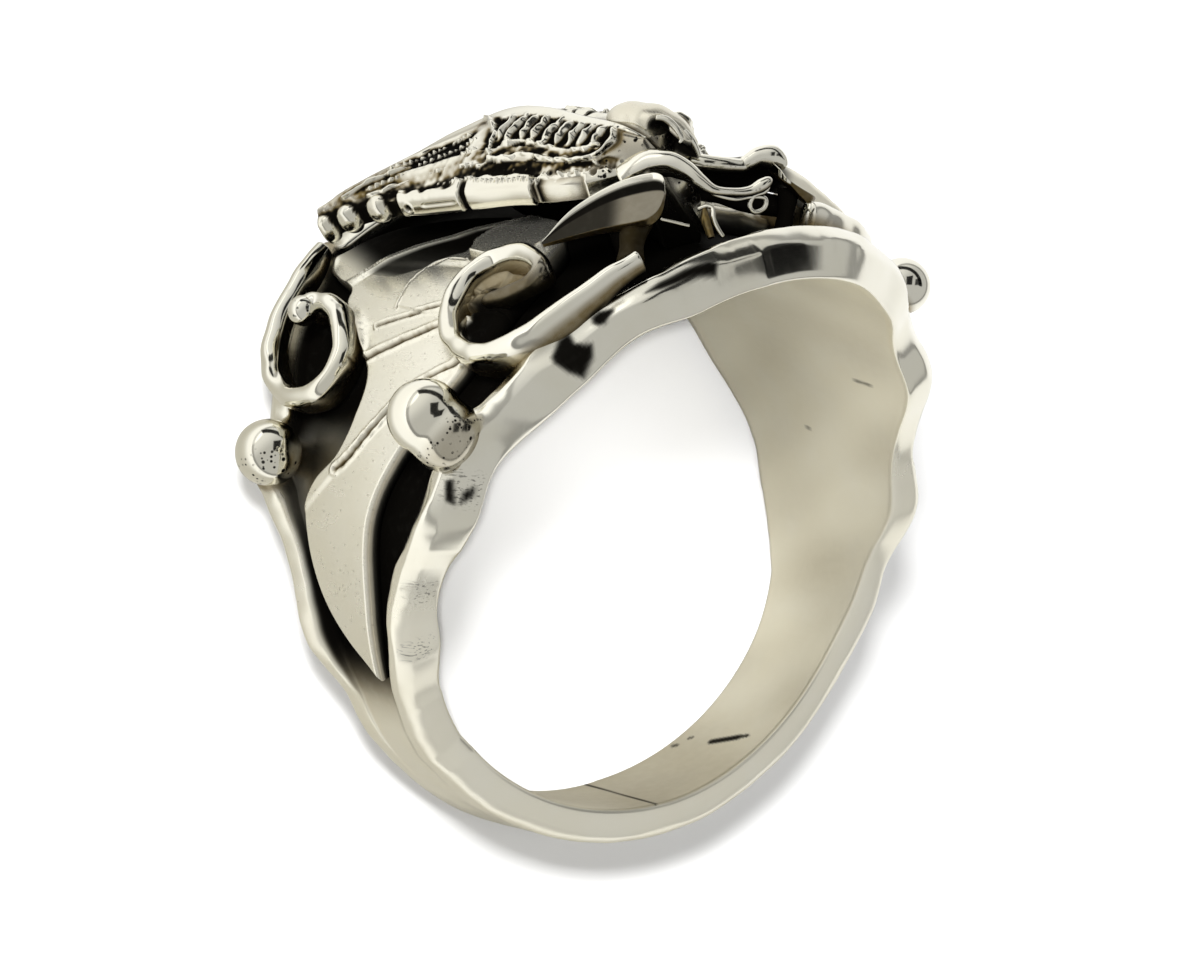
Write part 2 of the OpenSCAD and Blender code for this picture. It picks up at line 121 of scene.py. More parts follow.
# Painted dark reflections on the near rail: corners by angle and by turn over the rail, both in
# degrees. DEGREE and TURN are how many mm a degree of each stands for; the value after the table is
# how dark these painted reflections are
DEGREE, TURN = 0.21, 0.018
RAIL_REFLECTIONS = [
    [[-39.8, 58], [-36.9, 76], [-35.2, 76], [-36.1, 50], [-35.5, 36], [-34.5, 27], [-35.8, 14], [-39.2, 4],
     [-40.1, 22], [-40.4, 45]],
    [[-31.1, 72], [-29.8, 72], [-28.1, 58], [-28.6, 50], [-30.8, 40], [-31.6, 45], [-31.8, 58]],
    [[-22.5, 54], [-19.5, 62], [-14.6, 62], [-10.1, 54], [-9, 44], [-10.2, 30], [-13.6, 40], [-17.5, 45],
     [-20.1, 47]],
    [[-65.4, 63], [-64.9, 50], [-69, 36], [-68.6, 50]], [[-68.6, 27], [-66.6, 27], [-65.2, 14], [-67, 14]],
]
REFLECTION_DARK = 0.98

# Leaf sections: angle from the top, far edge, near edge
LEAF = [
    [105, -1.48, -1.58], [102, -1, -1.68], [98, -0.18, -1.82], [94, 0.5, -1.93], [90, 1.02, -2.04],
    [85, 1.48, -2.08], [80, 1.82, -2.06], [75, 2.02, -2.12], [70, 1.6, -2.4], [65, 0.6, -2.86],
    [58, 0.2, -3.6], [50, 0.5, -4.45], [42, 2.4, -4.95], [38, 3.8, -5], [34.6, 4.3, -5], [33.2, 5.4, -5],
    [31.6, 6.15, -4.95], [28, 6.25, -4.9], [20, 4.9, -4.6], [14, 2.6, -4], [10.5, 0.5, -3],
]
# Engraved lines of a leaf, each a half width and a depth in mm, then points of angle and place
# along the finger
LEAF_LINES = [
    [0.075, 0.13, [67.5, 0.35], [64.9, -0.27], [57.9, -1.42], [50.7, -2.6], [44.6, -4.37], [43, -4.9]],
    [0.075, 0.13, [48.5, 1], [47.2, 0.8], [41.6, -1.02], [35.8, -3.07], [33, -4.9]],
    [0.045, 0.09, [41, 1.2], [38.2, 0], [32.4, -2.83], [29.5, -4.9]],
    [0.035, 0.07, [36.9, 0.75], [32, 1.1], [27.8, 0.98], [24.7, 0.15], [24.3, -1], [24.4, -2.1]],
    [0.05, 0.12, [24.2, -2.6], [24, -0.97], [20.8, -0.62], [17.9, -0.68], [15.7, -0.87], [12.3, -1.49]],
]
# Small feathers of a leaf that stand over it: their outlines as above and their rise in mm
PETALS = [
    [0.1, [36.9, 0.75], [32, 1.1], [27.8, 0.98], [24.7, 0.15], [24.3, -1], [24.4, -3.9], [34, -4.2],
     [37, -1]],
    [0.42, [24, -0.97], [20.8, -0.62], [17.9, -0.68], [15.7, -0.87], [11, -1.6], [11.5, -4], [24, -4.2]],
]
# Height at which distances on a leaf are taken, half width up to which its lines leave no stain
LEAF_LEVEL, THIN_LINE = 1.6, 0.04
# Double ridge under the wing: angle, place along the finger, then half its width and its rise
RIDGE = [[37, 4.9], [33.7, 4.32], [28.9, 3.61], [23.4, 2.39], [19.3, 1.19], [16.5, 0.71], [11, -0.7]]
RIDGE_HALF, RIDGE_TALL = 0.20, 0.15
# Feather steps of a leaf: angle at the middle of the finger, degrees that it leans for each mm
STEPS = [[66.5, 4.9], [44.8, 2.8], [38, 2.1], [26, 0.7]]
# Line where a leaf's polish ends and the painted shade under the wing, below the ridge, begins
LEAF_SHADE = [[31.5, 4], [30.8, 2.19], [28, 1.24], [24.7, 0.4], [22.3, -0.23], [17, -0.62], [11, -1.5]]

# Blackened and browned places inside the near scroll's loop: angle, place along the finger, reach
NEST = [34.8, -5.15, 1.75]
BROWNED = [29.5, -4, 1.6]

# Scrolls: angle from the top, place along the finger, height, share of the strip's size
SCROLLS = {
    "near_scroll_left": [
        [33, -3.95, 1.95, 0.5], [31.5, -4.9, 2.05, 0.62], [30, -5.7, 2.2, 0.66], [28.2, -6.3, 2.38, 0.7],
        [25.6, -6.2, 2.5, 0.82], [23.4, -4.7, 2.45, 0.95], [24.7, -3.42, 2.35, 0.95],
        [28.3, -2.77, 2.25, 1], [33.1, -2.77, 2.2, 1], [38.1, -3.31, 2.17, 1], [41.7, -4.22, 2.17, 1],
        [43.6, -5.59, 2.17, 1], [43, -6.92, 2.2, 1], [39.9, -8.18, 2.3, 1], [35.3, -9.13, 2.42, 0.92],
        [29.6, -9.92, 2.52, 0.8], [24.2, -10.41, 2.6, 0.7], [19.7, -10.76, 2.62, 0.66],
    ],
    "near_scroll_right": [
        [32.4, -6.4, 2.4, 0.95], [29.8, -5.4, 2.36, 1.05], [30.4, -4.2, 2.32, 1.05], [35.2, -3.3, 2.25, 1],
        [41, -3.7, 2.2, 1], [44.2, -5.1, 2.12, 1], [42.2, -6.45, 2.02, 1], [37, -7.6, 2, 1],
        [30, -8.45, 2.04, 0.95], [23.5, -9.05, 2.12, 0.9], [19, -9.4, 2.18, 0.85],
    ],
    "far_scroll_left": [
        [43.4, 4.3, 2.6, 0.95], [42, 4.22, 2.58, 1], [41, 3.9, 2.5, 1], [40.9, 3.22, 2.38, 1],
        [43.1, 2.44, 2.2, 0.95], [47.7, 1.68, 2.05, 0.95], [52.7, 1.69, 2, 0.95], [56.3, 2.45, 2, 0.95],
        [57.3, 3.66, 2.05, 0.95], [55.1, 4.79, 2.1, 0.9], [51.2, 5.58, 2.1, 0.9], [46.2, 6.06, 2.15, 0.9],
        [40.5, 6.35, 2.15, 0.85], [34.3, 6.58, 2.15, 0.8], [28.9, 6.9, 2.1, 0.7],
    ],
}
SCROLLS["far_scroll_right"] = SCROLLS["far_scroll_left"]
# How much deeper than round the near and the far strips are, and height of the solder along them
NEAR_DRAWN, FAR_DRAWN, WIRE_SOLDER = 0.7, 0.55, 0.22
# Ball that a far scroll ends in: angle from the top, place along the finger, height, radius
SCROLL_BALL = [43.3, 4.28, 2.74, 0.57]

# Tongues: angle from the top, place along the finger, height, half width; then their slope across
# and the height of their lip
TONGUES = {
    "tongue_left": [
        [23.3, -6.13, 3.2, 0.05], [20.6, -6.67, 3.38, 0.3], [18, -7.25, 3.53, 0.5],
        [15.7, -7.84, 3.67, 0.67], [13.8, -8.43, 3.77, 0.8], [12.2, -9.02, 3.83, 0.86],
        [11, -9.5, 3.86, 0.86], [10, -9.9, 3.88, 0.86],
    ],
    "tongue_right": [
        [26, -6.45, 2.89, 0.1], [24, -6.9, 3.04, 0.45], [21.6, -7.45, 3.19, 0.8], [19.2, -8.05, 3.29, 1],
        [17.2, -8.65, 3.3, 0.92], [15.9, -9.05, 3.26, 0.55], [15.4, -9.25, 3.22, 0.12],
    ],
}
TONGUE_LEAN, TONGUE_LIP = 0.55, 0.16
# Posts under the tongues: how dark, then angle, place along the finger, height, radius
POSTS = {
    "tongue_left": [
        [0.65, [19.2, -9.75, 2.25, 0.58], [17.2, -9.4, 2.5, 0.5], [15.2, -9.1, 2.76, 0.56],
         [13.4, -8.9, 2.98, 0.66]],
        [1, [15, -8.3, 0.96, 0.6], [15, -8.3, 2.2, 0.5], [15, -8.3, 3, 0.5]],
    ],
    "tongue_right": [[1, [18.3, -8.3, 0.96, 0.42], [18.3, -8.3, 2, 0.36], [18.3, -8.3, 2.9, 0.45]]],
}

# Necks of solder that draw a ball out towards the rail: angle from the top, place along the
# finger, height, how far in mm, and the cosines between which the neck swells
NECKS = {"near_ball_left": (59.6, -6.75, 1.4, 0.74, 0.25, 0.95)}

# Balls: side, angle from the top, place along the finger, height, radius
BALLS = {
    "near_ball_left": (LEFT, 56.2, -5.60, 2.70, 1.38),
    "near_ball_right": (RIGHT, 56.2, -5.60, 2.54, 1.04),
    "far_ball_left": (LEFT, 67.2, 3.75, 2.20, 1.22),
    "far_ball_right": (RIGHT, 67.2, 3.75, 2.20, 1.22),
}
# Way that the pits of the far balls face
PITTED_WAY = np.array([-0.5, -0.6, -0.75])

# Wing stations from the shoulder to the tip: how far along, then the rim's, the lower feathers'
# edge's and the middle of the back's place as across, along the finger, height
WING = [
    [0, 1, -7.1, 5.05, 1.4, -7.4, 4.1, 0, -7.1, 5.1], [0.12, 1.3, -6, 5.5, 2.6, -6.4, 3.9, 0, -6, 5.65],
    [0.26, 1.05, -3.6, 5.48, 3.6, -4.9, 3.7, 0, -3.6, 5.3],
    [0.42, 0.9, -0.9, 5.52, 4.25, -2.8, 3.55, 0, -0.9, 4.9],
    [0.57, 1.1, 1.2, 5.28, 4.85, -1, 3.3, 0, 1.2, 4.6], [0.7, 2.2, 3, 4.5, 5.3, 1, 3, 0, 2.8, 4.1],
    [0.82, 3.85, 4.15, 3.75, 5.7, 2.4, 2.8, 0, 3.9, 3.6],
    [0.92, 5.45, 4.95, 3, 6.3, 4.2, 2.35, 0, 4.7, 3.1], [1, 6.55, 5.6, 2.2, 6.95, 5.5, 1.8, 0, 5.3, 2.7],
]
# Thickness of the wings, bulge of their sides and of the back; half width, near and far end of the
# body's seat on the ground; how far the right wing is tucked in and lowered
WING_T, WING_BULGE, BACK_RISE = 0.75, 0.45, 0.25
SEAT_HALF, SEAT_NEAR, SEAT_FAR = 1.45, -8.2, 3.2
RIGHT_TUCK, RIGHT_DROP = 0.3, 0.7

# Eagle's limbs: place across, along the finger, height above the top of the finger hole, radius
LIMBS = {
    "far_leg": [
        [0.69, -7.3, 3.91, 0.3], [1.03, -7.6, 3.8, 0.32], [1.71, -7.8, 3.6, 0.31], [2.49, -7.8, 3.39, 0.27],
        [2.79, -7.9, 3.49, 0.3], [3.18, -8, 3.6, 0.38], [3.6, -8.15, 3.52, 0.45], [3.86, -8.3, 3.3, 0.33],
        [3.97, -8.4, 3.02, 0.14],
    ],
    "near_leg": [
        [-1.75, -6.6, 3.7, 0.66], [-1.45, -7.1, 4.02, 0.62], [-1.12, -7.5, 4.2, 0.56],
        [-0.77, -8, 4.21, 0.47], [-0.47, -8.5, 3.96, 0.38], [-0.22, -9, 3.56, 0.27], [0.1, -9.4, 3.2, 0.18],
        [0.77, -9.6, 3, 0.16], [1.37, -9.75, 2.93, 0.19], [1.85, -9.9, 3.06, 0.24], [2.21, -10, 3.25, 0.13],
    ],
    "talon": [
        [-0.1, -9.1, 3.4, 0.1], [0.08, -9.4, 3.06, 0.09], [0.74, -9.6, 2.75, 0.09],
        [1.34, -9.75, 2.71, 0.09], [1.9, -9.88, 2.55, 0.09], [1.8, -9.9, 2.22, 0.09],
        [1.45, -9.8, 2.14, 0.09], [1.3, -9.75, 2.4, 0.09], [1.5, -9.8, 2.72, 0.09],
        [1.91, -9.9, 2.82, 0.11], [2.13, -9.9, 3.14, 0.12],
    ],
    "claw": [
        [-0.66, -9.3, 2.66, 0.07], [-0.4, -9.5, 2.74, 0.08], [-0.29, -9.7, 2.63, 0.09],
        [-0.44, -9.9, 2.35, 0.09], [-0.45, -10.1, 2.01, 0.09], [-0.38, -10.3, 1.69, 0.08],
    ],
    "claw_web": [
        [-0.42, -9.4, 2.66, 0.1], [-0.65, -9.7, 2.34, 0.17], [-0.71, -9.9, 2.01, 0.16],
        [-0.76, -10.1, 1.71, 0.12],
    ],
    "right_wing": [
        [1.52, -6.8, 3.39, 0.5], [2.59, -6.7, 3.03, 0.56], [3.75, -6.6, 2.73, 0.6],
        [4.84, -6.4, 2.32, 0.56], [5.87, -6.2, 1.71, 0.5], [6.91, -6, 0.83, 0.46], [7.93, -5.8, -0.2, 0.44],
        [8.74, -5.7, -1.22, 0.42], [9.2, -5.7, -1.92, 0.36],
    ],
    "right_wing_edge": [
        [1.75, -6.2, 2.46, 0.36], [2.7, -6.2, 2.14, 0.4], [3.68, -6.2, 1.67, 0.42],
        [4.59, -6.2, 1.32, 0.42], [5.55, -6.2, 1.03, 0.36],
    ],
    "splint": [[-2.1, -9, 2.58, 0.07], [-1.6, -9.15, 2.36, 0.07], [-1.09, -9.3, 2.13, 0.07]],
    "brow": [
        [-0.41, -7, 5.7, 0.1], [-0.16, -7.2, 5.64, 0.13], [0.02, -7.4, 5.42, 0.13], [0.1, -7.6, 5.14, 0.12],
        [0.12, -7.7, 4.89, 0.1], [0.01, -7.7, 4.76, 0.05],
    ],
    "beak": [
        [0.33, -7.6, 5.16, 0.1], [0.45, -7.8, 4.84, 0.12], [0.57, -7.9, 4.48, 0.1], [0.61, -8, 4.15, 0.06],
    ],
}
# Point that the limbs' and the head's heights count from, and direction their circles keep level to
LIFT, LIMB_LEVEL = np.array([0, 0, BORE_R]), np.array([0.3, 0.2, 1.0])
# Limbs that the blackening leaves brown or black all over, or hardly touches
BROWN, BLACK, CLEAN = ["claw_web"], ["right_wing_edge"], ["right_wing"]
# Head: place across, along the finger and in height, radius; and the hollow between brow and beak
HEAD = [
    [-0.59, -4.4, 5.45, 0.45], [-0.42, -5.2, 5.4, 0.72], [-0.18, -5.8, 5.28, 0.82], [0.02, -6.3, 5.22, 0.8],
    [0.21, -6.8, 5.04, 0.71], [0.34, -7.3, 4.77, 0.57], [0.44, -7.7, 4.43, 0.4], [0.58, -7.95, 4.11, 0.2],
]
HOLLOW = [[-0.3, -6.95, 5.38], [-0.24, -7.1, 4.98], [0.07, -7.45, 4.62], [0.42, -7.75, 4.42]]
HOLLOW_HALF, HOLLOW_DEPTH = 0.44, 0.45

# Strokes of the wing relief: height, half width, spacing of its beads (0 for none), then points
# of how far along the wing and how far down its side
STROKES = [
    [0.17, 0.1, 0, [0.615, 0.1], [0.585, 0.23], [0.545, 0.45], [0.535, 0.64], [0.505, 0.74], [0.45, 0.735],
     [0.403, 0.69], [0.31, 0.74], [0.223, 0.755], [0.163, 0.715], [0.12, 0.6], [0.105, 0.4], [0.13, 0.2]],
    [0.14, 0.09, 0.3, [0.7, 0.74], [0.62, 0.76], [0.58, 0.76], [0.5, 0.84], [0.4, 0.84], [0.3, 0.87],
     [0.2, 0.87], [0.13, 0.8]],
    [0.12, 0.08, 0.26, [0.72, 0.86], [0.6, 0.88], [0.5, 0.94], [0.38, 0.95], [0.26, 0.96]],
    [0.16, 0.12, 0, [0.5, 0.6], [0.42, 0.56], [0.32, 0.6], [0.22, 0.62], [0.15, 0.56]],
    [0.13, 0.08, 0.24, [0.64, 0.3], [0.7, 0.36], [0.76, 0.4], [0.83, 0.42]],
    [0.13, 0.08, 0.24, [0.6, 0.46], [0.68, 0.5], [0.76, 0.53]],
    [0.13, 0.08, 0.26, [0.59, 0.6], [0.68, 0.62], [0.78, 0.66], [0.88, 0.72]],
    [0.12, 0.07, 0, [0.8, 0.52], [0.88, 0.58], [0.94, 0.66]],
    [0.12, 0.07, 0, [0.66, 0.72], [0.8, 0.78], [0.88, 0.84]],
    [0.13, 0.07, 0, [0.1, 0.93], [0.115, 0.86], [0.15, 0.8]],
]


def smooth(a, b, x):
    """Smooth step: 0 below a, 1 above b, and 3 u^2 - 2 u^3 between them."""
    u = np.clip((np.asarray(x, float) - a) / (b - a), 0, 1)
    return u * u * (3 - 2 * u)


def between(x, a, b, c, d):
    """Smooth step up from a to b and down again from c to d."""
    return smooth(a, b, x) * smooth(d, c, x)


def bump(x, middle, half):
    """Smooth hill: 1 at the middle and 0 at half either side."""
    return 1 - smooth(0, half, np.abs(x - middle))


def bell(x, half):
    """Bell: e to the power of minus the square of x over half."""
    return np.exp(-((x / half) ** 2))


def hermite(a, b, ma, mb, u):
    """Cubic from a to b with slopes ma and mb."""
    return ((2 * u**3 - 3 * u**2 + 1) * a + (u**3 - 2 * u**2 + u) * ma
            + (3 * u**2 - 2 * u**3) * b + (u**3 - u**2) * mb)


def column(rows, x, col):
    """One column of a table at x, by cubics whose slopes are those between each row's neighbours."""
    t = np.array(rows, float)
    t = t[::-1] if t[0, 0] > t[-1, 0] else t
    xs, ys, n = t[:, 0], t[:, col], len(t)
    a, b = np.maximum(np.arange(n) - 1, 0), np.minimum(np.arange(n) + 1, n - 1)
    m = (ys[b] - ys[a]) / (xs[b] - xs[a])
    x = np.clip(x, xs[0], xs[-1])
    i = np.clip(np.searchsorted(xs, x, side="right") - 1, 0, n - 2)
    w = xs[i + 1] - xs[i]
    return hermite(ys[i], ys[i + 1], w * m[i], w * m[i + 1], (x - xs[i]) / w)


def on_path(rows, u):
    """Point on a path of rows at u from 0 to 1: a cubic between rows, with slopes of half the
    way between their neighbours."""
    t, u = np.array(rows, float), np.asarray(u, float)
    last = len(t) - 1
    i = np.minimum(np.floor(u * last).astype(int), last - 1)
    a, b, c, d = t[np.maximum(i - 1, 0)], t[i], t[i + 1], t[np.minimum(i + 2, last)]
    return hermite(b, c, (c - a) / 2, (d - b) / 2, (u * last - i)[..., None])


def up(angle):
    """Direction away from the finger at an angle from the top: sine, 0, cosine."""
    r = np.radians(angle)
    return np.stack([np.sin(r), 0 * r, np.cos(r)], -1)


def at(angle, along, height):
    """Point at an angle from the top, a place along the finger and a height over its wall."""
    angle, along, height = (x.astype(float) for x in np.broadcast_arrays(angle, along, height))
    p = (BORE_R + height)[..., None] * up(angle)
    p[..., 1] += along
    return p


def unit(v):
    """Vectors scaled to a length of 1."""
    return v / np.maximum(np.linalg.norm(v, axis=-1, keepdims=True), 1e-12)


def place(p):
    """Ring's own frame in mm to the part's frame in metres: a turn about x that lays the ring
    on its far side."""
    s, c = math.sin(TILT), math.cos(TILT)
    x, y, z = p[..., 0], p[..., 1], p[..., 2]
    return np.stack([x, y * s + z * c, z * s - y * c], -1) * MM


def noise(p, size, seed=0):
    """Smooth noise from -1 to 1: a sum of sines in turned directions, as waves of about size."""
    turns = np.random.default_rng(seed)
    total = np.zeros(p.shape[:-1])
    for _ in range(7):
        way = unit(turns.normal(size=3)) * 2 * np.pi / size * turns.uniform(0.7, 1.5)
        total = total + np.sin(p @ way + turns.uniform(0, 2 * np.pi))
    return total / 3.5


def distance(p, path):
    """Least distance from each point to a path of straight pieces, and how far along it is."""
    shape, q = p.shape[:-1], p.reshape(-1, 3)
    best, arc = np.full(len(q), 1e9), np.zeros(len(q))
    start = 0.0
    for a, b in zip(path[:-1], path[1:]):
        ab = b - a
        length = np.linalg.norm(ab)
        u = np.clip((q - a) @ ab / max(ab @ ab, 1e-12), 0, 1)
        d = np.linalg.norm(q - a - u[:, None] * ab, axis=1)
        near = d < best
        best = np.where(near, d, best)
        arc = np.where(near, start + u * length, arc)
        start += length
    return best.reshape(shape), arc.reshape(shape)


def within(q, outline, scale):
    """How far inside a closed outline each point is, in mm, and less than 0 outside it: the
    distance to its sides, whose sign is from how many sides lie beside the point."""
    ring, q = np.array([*outline, outline[0]]) * scale, q * scale
    gap = distance(np.concatenate([q, 0 * q[..., :1]], -1), np.pad(ring, ((0, 0), (0, 1))))[0]
    found = np.zeros(gap.shape, bool)
    for (x0, y0), (x1, y1) in zip(ring[:-1], ring[1:]):
        found ^= ((y0 > q[..., 1]) != (y1 > q[..., 1])) & (
            q[..., 0] < (x1 - x0) * (q[..., 1] - y0) / (y1 - y0 + 1e-9) + x0)
    return np.where(found, gap, -gap)


def soften(p, times):
    """Rounds the corners of each ring of a grid: each pass takes a quarter of both neighbours."""
    for _ in range(times):
        p = (np.roll(p, 1, 1) + 2 * p + np.roll(p, -1, 1)) / 4
    return p


def normals(p):
    """Unit normals of a grid of rings: the cross product of its two slopes."""
    return unit(np.cross(np.gradient(p, axis=0), np.roll(p, -1, 1) - np.roll(p, 1, 1)))


# Masks at each point; the blackening mask also carries painted shade and painted dark reflections
MASKS = ("soot", "patina", "satin", "pores", "filed")


def link(thing):
    """Puts an object in the scene."""
    bpy.context.scene.collection.objects.link(thing)
    return thing


def skin(name, rings, slot, node=None, loop=False, masks=None, finish="polished"):
    """Closed mesh through rings of points: ring to ring, round each ring, and over both ends
    unless the rings make a loop. Masks are values from 0 to 1 at each point."""
    n, m, _ = rings.shape
    i = np.arange(n if loop else n - 1)[:, None]
    j = np.arange(m)[None, :]
    k, l = (i + 1) % n, (j + 1) % m
    quads = np.stack([i * m + j, k * m + j, k * m + l, i * m + l], -1).reshape(-1, 4)
    faces = quads.tolist()
    if not loop:
        faces += [list(range(m)), list(range(n * m - 1, (n - 1) * m - 1, -1))]
    points = place(rings).reshape(-1, 3)
    a, b, c, d = (points[quads[:, q]] for q in range(4))
    volume = np.einsum("ij,ij->i", np.cross(a, b), c).sum() + np.einsum("ij,ij->i", np.cross(a, c), d).sum()
    if volume < 0:
        faces = [f[::-1] for f in faces]
    name = "silver_" + name
    mesh = bpy.data.meshes.new(name)
    mesh.from_pydata(points.tolist(), [], faces)
    mesh.polygons.foreach_set("use_smooth", np.ones(len(mesh.polygons), bool))
    for mask in MASKS:
        values = (masks or {}).get(mask, 0) + np.zeros((n, m))
        mesh.attributes.new(mask, "FLOAT", "POINT").data.foreach_set(
            "value", np.clip(values, 0, 1).astype(np.float32).ravel())
    mesh.validate()
    mesh.update()
    piece = link(bpy.data.objects.new(name, mesh))
    mesh.materials.append(silver(slot, finish))
    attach(piece, "root")
    if node:
        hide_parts(node)


def wave(angle):
    """Hammered wave: a cosine of the angle, faded in and out over the shoulders."""
    a = np.abs(angle)
    return WAVE_DEPTH * np.cos(2 * np.pi * (a - WAVE_START) / WAVE_PITCH) * between(a, *WAVES)


def near_edge(angle):
    """Near rim: its place in the table, moved by the wave."""
    return -column(BAND, np.abs(angle), 1) - wave(angle)


def far_edge(angle):
    """Far rim: its place in the table for the left or the right side, moved by the wave."""
    a = np.abs(angle)
    return np.where(angle < 0, column(BAND, a, 2), column(BAND, a, 3)) + FAR_WAVE * wave(angle)


def crest(angle):
    """Height of the rails' crest: its place in the table, moved by the wave."""
    return column(BAND, np.abs(angle), 4) + CREST_WAVE * wave(angle)


def ground(angle):
    """Height of the ground: its thickness and its rise in the table."""
    return sizes().ground / MM + column(BAND, np.abs(angle), 5)


def facets(angle, value, share, seed):
    """Hammer facets: part of the way from a curve to straight runs between uneven stations."""
    spots = np.arange(-180, 181, 9.0)
    spots[1:-1] += np.random.default_rng(seed).uniform(-2.6, 2.6, len(spots) - 2)
    straight = np.interp(angle, spots, np.interp(spots, angle, value, period=360))
    for _ in range(3):
        straight = (np.roll(straight, 1) + straight + np.roll(straight, -1)) / 3
    return value + share * (straight - value)


def ball_centre(name):
    """Middle of a ball and its radius."""
    side, angle, along, height, radius = BALLS[name]
    return at(side * angle, along, height), radius


def wire_path(name, count):
    """Middle of a scroll's wire, its share of the wire's size and its angle from the top."""
    side = LEFT if name.endswith("left") else RIGHT
    angle, along, height, share = on_path(SCROLLS[name], np.linspace(0, 1, count)).T
    return at(side * angle, along, height), share, side * angle


def solder(p, side, ball=0.40, reach=0.32):
    """Height of the solder round the balls and wires of one side: a bell of the distance to
    each, highest where they meet the metal below."""
    total = np.zeros(p.shape[:-1])
    end = "left" if side < 0 else "right"
    for name, high in (("near_ball_", ball), ("far_ball_", 0.8 * ball)):
        centre, radius = ball_centre(name + end)
        total = np.maximum(total, high * bell(np.linalg.norm(p - centre, axis=-1) - radius, reach))
    for name in ("near_scroll_" + end, "far_scroll_" + end):
        gap = distance(p, wire_path(name, 40)[0])[0] - sizes().wire / MM
        total = np.maximum(total, WIRE_SOLDER * bell(gap, WIRE_SOLDER))
    return total


def section(edge, width, sense, foot, low, top, q):
    """A rail's section at a turn q from its outer foot (0) over its crest to the ground (pi)."""
    lift = np.maximum(np.sin(q), 0) ** RAIL_SQUARE
    start = np.where(q <= np.pi / 2, foot, low)
    return edge + sense * width / 2 * (1 - np.cos(q)), start + (top - start) * lift


def flats(edge, width, sense, foot, low, top, q, breaks, share):
    """The same section, part of the way to straight flats between the turns in breaks."""
    def round_at(x):
        return section(edge, width, sense, foot, low, top, x)

    k = sum((q >= b).astype(int) for b in breaks[1:-1])
    first, last = np.choose(k, breaks[:-1]), np.choose(k, breaks[1:])
    u = (q - first) / (last - first)
    (a0, h0), (a1, h1), (a, h) = round_at(first), round_at(last), round_at(q)
    return a + share * (a0 + (a1 - a0) * u - a), h + share * (h0 + (h1 - h0) * u - h)


def struck(angle, seed, swing):
    """Value that jumps from one hammered flat to the next, up to swing either way."""
    spots = np.arange(-184, 185, 8.0)
    draw = np.random.default_rng(seed)
    spots[1:-1] += draw.uniform(-2.4, 2.4, len(spots) - 2)
    values = draw.uniform(-swing, swing, len(spots) - 1)
    values[-1] = values[0]
    xs = np.stack([spots[:-1] + 1.8, spots[1:] - 1.8], 1).ravel()
    return np.interp(angle, xs, np.repeat(values, 2))


